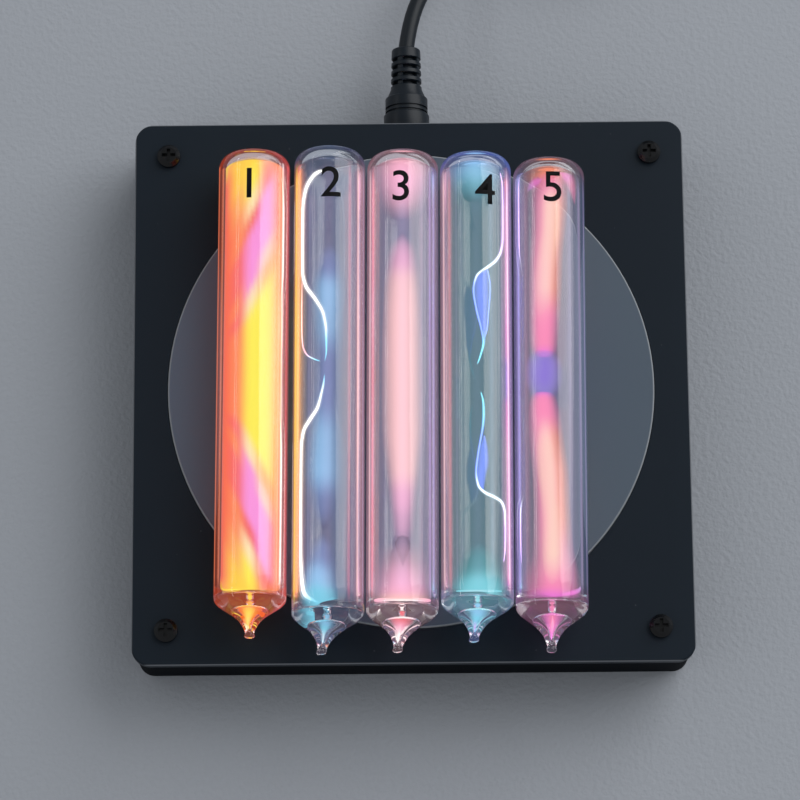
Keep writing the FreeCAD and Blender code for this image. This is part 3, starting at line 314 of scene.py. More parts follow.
dress("ferrite_core_right", nodes["ferrite_core_left"].data.materials[0])


def laminateMaterial():
    # green solder mask over faint copper tracks
    material, tree, shader, place = newMaterial("board_finish")
    tracks = addNode(tree, "ShaderNodeTexBrick", Vector=place, Color1=rgb(22, 92, 52),
                     Color2=rgb(18, 80, 46), Mortar=rgb(44, 128, 74), Scale=95.0,
                     Mortar_Size=0.06)
    fillInputs(tree, shader, dict(Base_Color=tracks.outputs["Color"], Roughness=0.32))
    addBump(tree, shader, tracks.outputs["Fac"], 0.00003)
    return material


def windingMaterial(name, colour, direction, turnsPerMetre):
    # close turns of enamelled wire
    material, tree, shader, place = newMaterial(name)
    turns = addNode(tree, "ShaderNodeTexWave", {"bands_direction": direction}, Vector=place,
                    Scale=turnsPerMetre / (2 * math.pi) * 2, Distortion=0.4,
                    Detail=1.0).outputs["Fac"]
    fillInputs(tree, shader, dict(
        Base_Color=mixColours(tree, turns, darker(colour, 0.35), colour),
        Metallic=0.85, Roughness=0.3))
    addBump(tree, shader, turns, 0.0001)
    return material


def extrudedMaterial():
    # fine drawn lines along the fins
    material, tree, shader, place = newMaterial("heat_sink_finish")
    lines = noise(tree, stretched(tree, place, (9000.0, 60.0, 9000.0)), 1.0, 2.0)
    fillInputs(tree, shader, dict(
        Base_Color=mixColours(tree, lines, rgb(196, 197, 200), rgb(222, 223, 226)),
        Roughness=mapRange(tree, lines, 0.0, 1.0, 0.24, 0.44), Metallic=1.0))
    addBump(tree, shader, lines, 0.00001)
    return material


def wovenMaterial(name, colour, threads):
    # plain weave of the tie's webbing
    material, tree, shader, place = newMaterial(name)
    turned = addNode(tree, "ShaderNodeMapping", Vector=place, Rotation=(0, 0, math.radians(-30)))
    warp, weft = [addNode(tree, "ShaderNodeTexWave", {"bands_direction": direction},
                          Vector=turned.outputs[0], Scale=threads, Distortion=0.6,
                          Detail=1.0).outputs["Fac"] for direction in ("X", "Y")]
    weave = calculate(tree, "MAXIMUM", warp, weft)
    fillInputs(tree, shader, dict(
        Base_Color=mixColours(tree, weave, darker(colour, 0.4), colour), Roughness=0.9,
        Sheen_Weight=0.3))
    addBump(tree, shader, weave, 0.00012)
    return material


discLook = {"left": rgb(89, 101, 119), "right": rgb(84, 98, 112), "halfWidth": 0.052,
            "rim": rgb(150, 156, 162), "paintedRimHighlightInside": 0.0004, "paintedRimHighlightOutside": 0.0002}


def frostedMaterial(look):
    # frosted grey-blue plate with a faint satin tooth, with painted shading slightly lighter on its left
    # than on its right, and a painted highlight along its ground rim
    material, tree, shader, place = newMaterial("frosted_disc_finish")
    axes = addNode(tree, "ShaderNodeSeparateXYZ", Vector=place).outputs
    # painted shading from the left side to the right across the disc
    across = mapRange(tree, axes["X"], -look["halfWidth"], look["halfWidth"])
    clouds = noise(tree, place, 26.0, 5.0)
    mixed = calculate(tree, "MULTIPLY_ADD", clouds, 0.25, across)
    tone = mixColours(tree, mixed, look["left"], look["right"])
    flat = addNode(tree, "ShaderNodeCombineXYZ", X=axes["X"], Y=axes["Y"]).outputs[0]
    reach = addNode(tree, "ShaderNodeVectorMath", {"operation": "LENGTH"}, i0=flat)
    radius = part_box("frosted_disc")[1].x
    # painted highlight: a pale ring just inside the disc's edge
    rim = mapRange(tree, reach.outputs["Value"], radius - look["paintedRimHighlightInside"],
                   radius - look["paintedRimHighlightOutside"])
    fillInputs(tree, shader, dict(
        Base_Color=mixColours(tree, rim, tone, look["rim"]),
        Roughness=mapRange(tree, clouds, 0.0, 1.0, 0.52, 0.66), Specular_IOR_Level=0.4))
    addBump(tree, shader, noise(tree, place, 6000.0, 2.0), 0.00001)
    return material


lidLook = {"base": rgb(24, 34, 44), "paintedEdgeHighlight": rgb(112, 116, 122), "paintedEdgeHighlightInside": 0.00026,
           "paintedEdgeHighlightOutside": 0.00018, "paintedEdgeHighlightBelow": 0.0006, "paintedEdgeHighlightAbove": 0.00035}


def lidMaterial(look):
    # satin black plastic, with a painted highlight along its top edge
    material = mouldedMaterial("lid_finish", look["base"], roughness=0.46, specular=0.16,
                               blotch=0.05, tooth=5200.0, depth=0.000012, dust=0.3)
    tree = material.node_tree
    shader = tree.nodes["Principled BSDF"]
    plain = shader.inputs["Base Color"].links[0].from_socket
    place = tree.nodes["Texture Coordinate"].outputs["Object"]
    axes = addNode(tree, "ShaderNodeSeparateXYZ", Vector=place).outputs
    outermost = calculate(tree, "MAXIMUM", calculate(tree, "ABSOLUTE", axes["X"]),
                          calculate(tree, "ABSOLUTE", axes["Y"]))
    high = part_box("lid")[1]
    edge = mapRange(tree, outermost, high.x - look["paintedEdgeHighlightInside"], high.x - look["paintedEdgeHighlightOutside"])
    top = mapRange(tree, axes["Z"], high.z - look["paintedEdgeHighlightBelow"], high.z - look["paintedEdgeHighlightAbove"])
    # painted highlight: paler along the lid's top edge
    paintedEdgeHighlight = calculate(tree, "MULTIPLY", edge, top)
    fillInputs(tree, shader, dict(Base_Color=mixColours(tree, paintedEdgeHighlight, plain, look["paintedEdgeHighlight"])))
    return material


dress("lid", lidMaterial(lidLook))
dress("lid_screws", mouldedMaterial("screw_finish", rgb(6, 8, 12), roughness=0.24,
                                    specular=0.34, tooth=3500.0, depth=0.000006, spread=0.05))
dress("driver_board", laminateMaterial())
dress("primary_winding", windingMaterial("primary_finish", rgb(190, 108, 58), "X", 2200.0))
dress("secondary_winding", windingMaterial("secondary_finish", rgb(172, 90, 46), "X", 5200.0))
dress("choke_winding", windingMaterial("choke_winding_finish", rgb(196, 112, 60), "Y", 1400.0))
dress("heat_sink", extrudedMaterial())
dress("cord_tie", wovenMaterial("cord_tie_finish", rgb(44, 44, 46), 620.0))
dress("frosted_disc", frostedMaterial(discLook))

cord.data.materials.append(mouldedMaterial(
    "cord_sheath_finish", rgb(15, 24, 32), roughness=0.42, blotch=0.12, tooth=3200.0,
    spread=0.08, dust=0.1, specular=0.35))
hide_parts("power_cord", "cord_coil", "cord_tail")
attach(cord, "power_lead")

# Glass tubes: a thick wall with a rounded flat end and a drawn, sealed tip
print("glass tubes")
tubeSpec = {
    "radius": 7.7, "bore": 6.4, "axisLevel": 27.5, "middleY": -6.9,
    "endRound": 3.6, "endGlass": 1.4, "boreRound": 2.95, "pipRadius": 2.3, "pipDepth": 0.35,
    "segments": 168, "tipSpacing": 0.02, "leanPower": 1.5,
    # (added to the pip's radius, share of its depth) from its rim to its floor
    "pipSteps": [(0.5, 0.0), (0.1, 0.6), (-0.5, 1.0)],
    "tipOutside": [(0.0, 1.0), (0.10, 0.985), (0.22, 0.88), (0.37, 0.63), (0.49, 0.42),
                   (0.62, 0.27), (0.74, 0.182), (0.84, 0.132), (0.875, 0.122), (0.90, 0.130),
                   (0.93, 0.142), (0.955, 0.136), (0.978, 0.108), (0.993, 0.062), (1.0, 0.0)],
    "tipInside": [(0.0, 1.0), (0.012, 0.95), (0.026, 0.8), (0.033, 0.5), (0.04, 0.15),
                  (0.06, 0.11), (0.12, 0.11), (0.14, 0.15), (0.155, 0.38), (0.175, 0.52),
                  (0.21, 0.52), (0.26, 0.43), (0.34, 0.30), (0.43, 0.19), (0.52, 0.12),
                  (0.62, 0.08), (0.74, 0.055), (0.81, 0.045), (0.84, 0.0)],
}
tubes = {
    "neon": {"x": -34.0, "dome": 50.4, "shoulder": -46.9, "tip": 8.9, "lean": 0.0, "turn": 0.56},
    "krypton": {"x": -17.65, "dome": 51.0, "shoulder": -50.0, "tip": 9.4, "lean": -1.4,
                "turn": 0.5},
    "helium": {"x": -1.9, "dome": 50.1, "shoulder": -49.5, "tip": 9.6, "lean": -1.1,
               "turn": 0.56},
    "xenon": {"x": 13.9, "dome": 49.5, "shoulder": -47.9, "tip": 9.2, "lean": -0.9,
              "turn": 0.48},
    "argon": {"x": 29.65, "dome": 48.0, "shoulder": -49.0, "tip": 10.4, "lean": -0.2,
              "turn": 0.6},
}
palette = {
    "ember": (255, 98, 66), "flame": (246, 96, 26), "rose": (246, 100, 108),
    "coral": (254, 138, 92), "orchid": (251, 150, 232), "peach": (255, 208, 196),
    "cream": (255, 240, 190), "lemon": (255, 246, 84), "gold": (255, 214, 70),
    "amber": (252, 176, 100), "white": (255, 250, 246), "ice": (226, 244, 255),
    "sky": (146, 198, 240), "cyan": (120, 205, 230), "haze": (118, 142, 196),
    "blush": (232, 165, 178), "salmon": (255, 194, 190), "pink": (252, 172, 200),
    "lilac": (178, 152, 196), "mauve": (152, 146, 184), "teal": (86, 154, 162),
    "sea": (122, 204, 218), "blue": (122, 146, 252), "violet": (216, 176, 246),
    "iris": (150, 134, 216), "grape": (138, 112, 216), "magenta": (238, 112, 214),
    "hot": (252, 134, 178), "shell": (255, 222, 208),
}
# painted light on the glass wall, standing in for the gas's glow that it carries and reflects: shares on
# the left side, in the middle and on the right, stops along it, and painted highlight lines as (offset,
# half width, colour, level)
paintedWallLight = {
    "neon": ((0.05, 0.03, 0.14),
             [(-56, "ember flame rose", 2.2), (-49, "ember flame rose", 2.6),
              (-46, "ember ember rose", 1.0), (44, "ember ember rose", 1.0),
              (50, "ember ember rose", 1.5)],
             [(-7.45, 0.14, "coral", 0.55), (5.75, 0.12, "peach", 0.45),
              (6.35, 0.14, "white", 0.7), (7.3, 0.16, "rose", 0.45)]),
    "krypton": ((0.06, 0.07, 0.07),
                [(-59, "lilac lilac lilac", 0.5), (-50, "lilac haze lilac", 0.4),
                 (-46, "amber haze blush", 1.0), (44, "amber haze blush", 1.0),
                 (51, "lilac haze lilac", 0.35)],
                [(-7.0, 0.22, "gold", 0.7), (-6.5, 0.25, "amber", 0.45),
                 (-4.0, 0.14, "mauve", 0.3), (0.0, 1.5, "blush", 0.08),
                 (4.5, 0.28, "rose", 0.32),
                 (6.25, 0.16, "peach", 0.7), (7.35, 0.1, "lilac", 0.4)]),
    "helium": ((0.06, 0.08, 0.05),
               [(-59, "blush blush lilac", 0.5), (-50, "blush blush lilac", 0.35),
                (-46, "blush mauve lilac", 1.0), (44, "blush mauve lilac", 1.0),
                (50, "blush blush blush", 0.5)],
               [(-6.95, 0.12, "peach", 0.5), (-6.3, 0.3, "rose", 0.5),
                (0.0, 1.6, "mauve", 0.3),
                (4.0, 0.4, "lilac", 0.14), (5.85, 0.14, "violet", 0.4),
                (6.6, 0.2, "iris", 0.42)]),
    "xenon": ((0.07, 0.08, 0.10),
              [(-57, "iris blue iris", 0.8), (-49, "iris sea iris", 0.7),
               (-44, "blush teal violet", 1.0), (42, "blush teal violet", 1.0),
               (49, "iris blue blue", 0.7)],
              [(-6.95, 0.14, "peach", 0.55), (-5.7, 0.25, "rose", 0.3),
               (-4.3, 0.12, "lilac", 0.22), (0.0, 1.5, "mauve", 0.13),
               (3.05, 0.5, "sky", 0.1),
               (6.65, 0.35, "hot", 0.4), (6.7, 0.12, "white", 0.55)]),
    "argon": ((0.07, 0.06, 0.07),
              [(-59, "magenta lilac lilac", 0.5), (-50, "magenta pink lilac", 0.5),
               (-44, "iris mauve haze", 1.0), (40, "iris mauve haze", 1.0),
               (48, "lilac blush lilac", 0.5)],
              [(-6.8, 0.2, "iris", 0.5), (-5.1, 0.5, "rose", 0.09), (4.1, 0.5, "lilac", 0.17),
               (6.05, 0.14, "lilac", 0.3), (7.3, 0.1, "lilac", 0.4)]),
}


def tubePlace(tube):
    # from the tube's own frame, with +Y from its shoulder to its flat end
    turn = math.radians(tube["turn"])
    fromMiddle = tubeSpec["middleY"] - tube["shoulder"]
    start = point(tube["x"] - fromMiddle * math.tan(turn), tube["shoulder"],
                  tubeSpec["axisLevel"])
    return Matrix.Translation(start) @ Matrix.Rotation(-turn, 4, "Z")


def gentleSlope(before, after):
    # no slope at a peak, so that a line never swings past its own stations
    return 0.0 if before * after <= 0 else 2 * before * after / (before + after)


def smoothStations(stations, spacing):
    # passes through each station, with rounded turns between them
    places = [Vector(station) for station in stations]
    gaps = [(after - before).length for before, after in zip(places, places[1:])]
    slopes = [(after - before) / gap for before, after, gap in zip(places, places[1:], gaps)]
    tangents = [Vector([gentleSlope(*pair) for pair in zip(before, after)])
                for before, after in zip(slopes, slopes[1:])]
    tangents = [slopes[0]] + tangents + [slopes[-1]]
    found = []
    for number, gap in enumerate(gaps):
        steps = max(2, math.ceil(gap / spacing))
        for step in range(steps):
            share = step / steps
            eased = share * share * (3 - 2 * share)
            found.append(places[number] * (1 - eased) + places[number + 1] * eased
                         + tangents[number] * gap * share * (1 - share) ** 2
                         - tangents[number + 1] * gap * share ** 2 * (1 - share))
    found.append(places[-1])
    return found


def addRings(mesh, rings, inwards=False):
    # skins a row of rings, with a pole where a ring is a single point
    faces = []
    for first, second in zip(rings, rings[1:]):
        count = max(len(first), len(second))
        for number in range(count):
            after = (number + 1) % count
            corners = [first[number % len(first)], first[after % len(first)],
                       second[after % len(second)], second[number % len(second)]]
            faces.append(mesh.faces.new(list(dict.fromkeys(corners))))
    bmesh.ops.recalc_face_normals(mesh, faces=faces)
    if inwards:
        bmesh.ops.reverse_faces(mesh, faces=faces)
    for face in faces:
        face.smooth = True


def addLathe(mesh, stations, segments, inwards=False):
    # stations are (lean, along, radius)
    rings = []
    for lean, along, radius in stations:
        count = segments if radius > 1e-9 else 1
        rings.append([mesh.verts.new((lean + radius * math.cos(2 * math.pi * number / count),
                                      along, radius * math.sin(2 * math.pi * number / count)))
                      for number in range(count)])
    addRings(mesh, rings, inwards)


def tipStations(tube, shares, radius):
    # shares are (of the tip's length, of the radius); the tip leans more towards its end
    shares = smoothStations(list(shares), tubeSpec["tipSpacing"])
    return [(tube["lean"] * share ** tubeSpec["leanPower"] * mm, -tube["tip"] * share * mm,
             max(0.0, radius * width) * mm) for share, width in shares]


def endStations(length, radius, rounding):
    steps = 12
    angles = [math.pi / 2 * step / steps for step in range(1, steps + 1)]
    return [(0, (length - rounding + rounding * math.sin(angle)) * mm,
             (radius - rounding + rounding * math.cos(angle)) * mm) for angle in angles]


def straightStations(length, radius):
    steps = 24
    return [(0, length * step / steps * mm, radius * mm) for step in range(1, steps + 1)]


def mixedColour(stops, along, across):
    # stops: (y, names of the left, middle and right colours, amount), up in y
    low = high = stops[0]
    for before, after in zip(stops, stops[1:]):
        if before[0] <= along:
            low, high = before, after
    reach = high[0] - low[0]
    share = min(1.0, max(0.0, (along - low[0]) / reach)) if reach else 0.0
    share = share * share * (3 - 2 * share)

    def tint(stop):
        # the names stand evenly from the left edge to the right one
        names = stop[1].split()
        spot = (across + 1) / 2 * (len(names) - 1)
        first = max(0, min(int(spot), len(names) - 2))
        near, far = [rgb(*palette[names[min(first + step, len(names) - 1)]])[:3]
                     for step in (0, 1)]
        part = min(1.0, spot - first)
        part = part * part * (3 - 2 * part)
        return [a + (b - a) * part for a, b in zip(near, far)]

    colour = [a + (b - a) * share for a, b in zip(tint(low), tint(high))]
    return colour, low[2] + (high[2] - low[2]) * share


# how steeply the painted wall light's colour and its painted side light rise towards the tube's sides
paintedWallPowers = {"colour": 5, "side": 12}


def paintWallLight(data, tube, spec, outerCount):
    # painted light: the outer wall gets the painted side light and the painted highlight lines, the bore
    # only the even painted light
    shares, stops, lines = spec
    colours = []
    for vertex in data.vertices:
        wide = math.hypot(vertex.co.x, vertex.co.z)
        across = vertex.co.x / wide if wide > 1e-6 else 0.0
        y = vertex.co.y / mm + tube["shoulder"]
        colour, amount = mixedColour(stops, y, across ** paintedWallPowers["colour"])
        side = shares[0] if across < 0 else shares[2]
        isOuter = vertex.index < outerCount
        nearSide = abs(across) ** paintedWallPowers["side"]
        level = amount * (shares[1] + (side - shares[1]) * nearSide * isOuter)
        light = [part * level for part in colour]
        isStraight = tube["shoulder"] < y < tube["dome"] - tubeSpec["endRound"]
        # painted highlight lines along the top of the outer wall
        if isOuter and isStraight and vertex.co.z > 0:
            for offset, halfWidth, name, strength in lines:
                reach = (across * tubeSpec["radius"] - offset) / halfWidth
                share = strength * math.exp(-reach * reach)
                light = [a + share * b for a, b in zip(light, rgb(*palette[name]))]
        colours += light + [1.0]
    data.attributes.new("light", "FLOAT_COLOR", "POINT").data.foreach_set("color", colours)


def makeTube(name, tube):
    length = tube["dome"] - tube["shoulder"]
    room = length - tubeSpec["endGlass"]
    pip, depth = tubeSpec["pipRadius"], tubeSpec["pipDepth"]
    outer = tipStations(tube, reversed(tubeSpec["tipOutside"]), tubeSpec["radius"])
    outer += straightStations(length - tubeSpec["endRound"], tubeSpec["radius"])
    outer += endStations(length, tubeSpec["radius"], tubeSpec["endRound"])
    outer.append((0, length * mm, 0))
    inner = tipStations(tube, reversed(tubeSpec["tipInside"]), tubeSpec["bore"])
    inner += straightStations(room - tubeSpec["boreRound"], tubeSpec["bore"])
    inner += endStations(room, tubeSpec["bore"], tubeSpec["boreRound"])
    inner += [(0, (room - share * depth) * mm, (pip + added) * mm)
              for added, share in tubeSpec["pipSteps"]]
    inner.append((0, (room - depth) * mm, 0))
    mesh = bmesh.new()
    addLathe(mesh, outer, tubeSpec["segments"])
    outerCount = len(mesh.verts)
    addLathe(mesh, inner, tubeSpec["segments"], inwards=True)
    data = bpy.data.meshes.new(name + "_glass")
    mesh.to_mesh(data)
    mesh.free()
    paintWallLight(data, tube, paintedWallLight[name], outerCount)
    data.transform(tubePlace(tube))
    return addObject(name + "_glass", data)


def glassMaterial():
    # drawn glass with faint streaks, whose emission is painted light in its wall: a painted glow of the
    # gas's light, with painted highlight lines
    material, tree, shader, place = newMaterial("drawn_glass")
    streaks = noise(tree, stretched(tree, place, (260.0, 9.0, 260.0)), 1.0, 2.0)
    light = addNode(tree, "ShaderNodeAttribute", {"attribute_name": "light"})
    fillInputs(tree, shader, dict(
        Base_Color=(0.985, 0.99, 0.99, 1), Transmission_Weight=1.0, IOR=1.47,
        Roughness=mapRange(tree, streaks, 0.55, 0.85, 0.0, 0.03),
        Emission_Color=light.outputs["Color"], Emission_Strength=1.0))
    addBump(tree, shader, streaks, 0.00003, 0.4)
    return material


glass = glassMaterial()
for tubeName, tube in tubes.items():
    shell = makeTube(tubeName, tube)
    shell.data.materials.append(glass)
    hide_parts(tubeName + "_tube")
    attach(shell, tubeName + "_discharge_tube")

# Plug grip: flange, grooves, body, shoulder and a strain relief with four slots in each row
print("plug grip")
gripSpec = {
    "flange": 5.05, "flangeLength": 4.6, "groove": 4.35, "grooveWidth": 0.5, "body": 4.7,
    "bodyLength": 8.5, "shoulder": 3.72, "taperLength": 2.0, "reliefStart": 3.45,
    "reliefEnd": 3.2, "reliefLength": 9.4, "edge": 0.4, "core": 2.15, "seat": 2.75,
    "seatDepth": 3.0, "slotRows": 4, "firstSlot": 0.7, "slotPitch": 1.85, "slotWidth": 0.8,
    "slotRound": 0.16, "bridgeAngle": 25.0, "bridgeClear": 1.5,
    "bridgeStep": 0.4, "turn": 19.0, "segments": 72,
}


def gripStations(spec):
    # (distance from the flange's face, radius, whether a slot is open here)
    start = spec["flangeLength"]
    step = spec["grooveWidth"]
    edge = spec["edge"]
    root = spec["bodyLength"] + spec["taperLength"]
    end = root + spec["reliefLength"]

    def rounding(along, radius, rise):
        angles = [math.radians(angle) for angle in (0, 30, 60, 90)]
        return [(along + rise * edge * math.sin(angle), radius - edge * (1 - math.cos(angle)),
                 False) for angle in angles]

    stations = [(spec["seatDepth"], 0.0, False), (spec["seatDepth"], spec["seat"], False),
                (0.0, spec["seat"], False)]
    stations += list(reversed(rounding(edge, spec["flange"], -1)))
    stations += rounding(start - edge, spec["flange"], 1)
    for number, radius in enumerate((spec["groove"], spec["body"], spec["groove"])):
        stations += [(start + number * step, radius, False),
                     (start + (number + 1) * step, radius, False)]
    stations.append((start + 3 * step, spec["body"], False))
    stations += rounding(spec["bodyLength"] - edge, spec["body"], 1)
    stations.append((root, spec["reliefStart"], False))

    def reliefRadius(along):
        share = (along - root) / spec["reliefLength"]
        return spec["reliefStart"] + share * (spec["reliefEnd"] - spec["reliefStart"])

    for row in range(spec["slotRows"]):
        low = root + spec["firstSlot"] + row * spec["slotPitch"]
        high = low + spec["slotWidth"]
        soft = spec["slotRound"]
        stations += [(low - soft, reliefRadius(low), False),
                     (low, reliefRadius(low) - soft, False), (low, spec["core"], True),
                     (high, spec["core"], True), (high, reliefRadius(high) - soft, False),
                     (high + soft, reliefRadius(high), False)]
    stations += rounding(end - edge, spec["reliefEnd"], 1)
    stations.append((end, 0.0, False))
    return stations


def gripAngles(spec):
    # pairs of close angles stand at the bridges' sides, so that these are upright
    half = spec["bridgeAngle"] / 2
    turns = [spec["turn"] + 45 + 90 * number for number in range(4)]
    angles = [360 * number / spec["segments"] for number in range(spec["segments"])]
    angles = [angle for angle in angles
              if all(abs(abs((angle - turn + 180) % 360 - 180) - half) > spec["bridgeClear"]
                     for turn in turns)]
    step = spec["bridgeStep"]
    for turn in turns:
        angles += [(turn + side * (half + gap)) % 360 for side in (-1, 1) for gap in (-step, step)]

    def isBridge(angle):
        return any(abs((angle - turn + 180) % 360 - 180) < half for turn in turns)
    return [(angle, isBridge(angle)) for angle in sorted(angles)]


def makeGrip(spec):
    low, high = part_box("plug_grip")
    middle = Vector(((low.x + high.x) / 2, low.y, (low.z + high.z) / 2))
    angles = gripAngles(spec)
    root = spec["bodyLength"] + spec["taperLength"]
    mesh = bmesh.new()
    rings = []
    for along, radius, isOpen in gripStations(spec):
        if radius == 0.0:
            rings.append([mesh.verts.new(middle + Vector((0, along * mm, 0)))])
            continue
        ring = []
        for angle, isBridge in angles:
            wide = spec["reliefEnd"] - spec["slotRound"] if isOpen and isBridge else radius
            turn = math.radians(angle)
            ring.append(mesh.verts.new(middle + Vector((wide * math.sin(turn), along,
                                                        wide * math.cos(turn))) * mm))
        rings.append(ring)
    addRings(mesh, rings)
    data = bpy.data.meshes.new("plug_grip_moulding")
    mesh.to_mesh(data)
    mesh.free()
    data.set_sharp_from_angle(angle=math.radians(28))
    grip = addObject("plug_grip_moulding", data)
    data.materials.append(mouldedMaterial(
        "plug_grip_finish", rgb(12, 23, 33), roughness=0.38, specular=0.32, tooth=2600.0,
        dust=0.15))
    return grip


grip = makeGrip(gripSpec)
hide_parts("plug_grip")
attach(grip, "power_lead")

# Glowing gas: nested shells, and thin bright threads
print("glows")


def glowMaterial():
    # light from the mesh's own colours, thinned by its fullness and a little drift
    material, tree, shader, place = newMaterial("glowing_gas")
    light, fullness = [addNode(tree, "ShaderNodeAttribute", {"attribute_name": name})
                       for name in ("light", "fullness")]
    drift = noise(tree, stretched(tree, place, (420.0, 70.0, 420.0)), 1.0, 2.0)
    alpha = addNode(tree, "ShaderNodeMath", {"operation": "MULTIPLY", "use_clamp": True},
                    i0=fullness.outputs["Fac"],
                    i1=mapRange(tree, drift, 0.0, 1.0, 0.78, 1.22))
    fillInputs(tree, shader, dict(
        Base_Color=(0, 0, 0, 1), Specular_IOR_Level=0.0, Alpha=alpha.outputs[0],
        Emission_Color=light.outputs["Color"], Emission_Strength=1.0))
    return material


def fullnessAround(form, across):
    # how full a shell is at this place across it: even, none at its sides or little between them
    square = min(1.0, across * across)
    return {"even": 1.0, "soft": 1.0 - square, "edges": 0.08 + 0.92 * square ** 2}[form]


glowSpec = {"segments": 32, "spacing": 1.0, "skewReach": 12, "leastRadius": 0.01}


def makeGlow(name, tube, spec):
    # path: (offset, y, radius) in the order of y; layers: (share of the radius, share of the
    # fullness, brightness, form); skew leans the stops over from row to row
    place = tubePlace(tube)
    segments = spec.get("segments", glowSpec["segments"])
    stations = smoothStations(spec["path"], spec.get("spacing", glowSpec["spacing"]))
    middles = [Vector((offset, y, 0)) for offset, y, radius in stations]
    mesh = bmesh.new()
    colours = []
    fullness = []
    for share, thickness, brightness, form in spec["layers"]:
        rings = []
        for number, (offset, y, radius) in enumerate(stations):
            ahead = middles[min(number + 1, len(stations) - 1)] - middles[max(number - 1, 0)]
            side = ahead.cross(Vector((0, 0, 1))).normalized()
            up = side.cross(ahead.normalized())
            middle = middles[number]
            isEnd = number in (0, len(stations) - 1)
            count = 1 if isEnd else segments
            ring = []
            for turn in range(count):
                angle = 2 * math.pi * turn / count
                out = side * math.cos(angle) + up * math.sin(angle)
                wide = max(radius, glowSpec["leastRadius"])
                spot = middle if isEnd else middle + wide * share * out
                across = 0.0 if isEnd else math.cos(angle)
                lean = min(1.0, max(-1.0, y / glowSpec["skewReach"]))
                skewed = y - spec.get("skew", 0.0) * lean * spot.x
                colour, amount = mixedColour(spec["stops"], skewed, across)
                ring.append(mesh.verts.new(place @ ((spot - Vector((0, tube["shoulder"], 0)))
                                                    * mm)))
                colours += [part * brightness for part in colour] + [1.0]
                fullness.append(min(1.0, amount * thickness * fullnessAround(form, across)))
            rings.append(ring)
        addRings(mesh, rings)
    data = bpy.data.meshes.new(name)
    mesh.to_mesh(data)
    mesh.free()
    data.attributes.new("light", "FLOAT_COLOR", "POINT").data.foreach_set("color", colours)
    data.attributes.new("fullness", "FLOAT", "POINT").data.foreach_set("value", fullness)
    item = addObject(name, data)
    item.data.materials.append(glow)
    return item


glow = glowMaterial()
softLayers = [(1.08, 0.42, 1.0, "soft"), (0.8, 0.5, 1.03, "soft"), (0.5, 0.6, 1.08, "soft")]
cloudLayers = [(1.0, 0.5, 1.0, "soft"), (0.76, 0.5, 1.0, "soft"), (0.46, 0.5, 1.05, "soft")]
lobeLayers = [(1.0, 0.5, 1.0, "soft"), (0.8, 0.6, 1.0, "soft")]
threadLayers = [(1.0, 0.2, 1.1, "even"), (0.45, 4.0, 2.4, "even")]
coreLayers = [(1.1, 0.45, 1.0, "soft"), (0.7, 0.65, 1.05, "soft")]
lineLayers = [(1.0, 1.0, 1.2, "even")]
threadForm = {"layers": threadLayers, "segments": 16, "spacing": 0.5}


def mirrored(stops):
    # the same stops on both sides of the middle
    return [(-y, names, amount) for y, names, amount in reversed(stops)] + stops


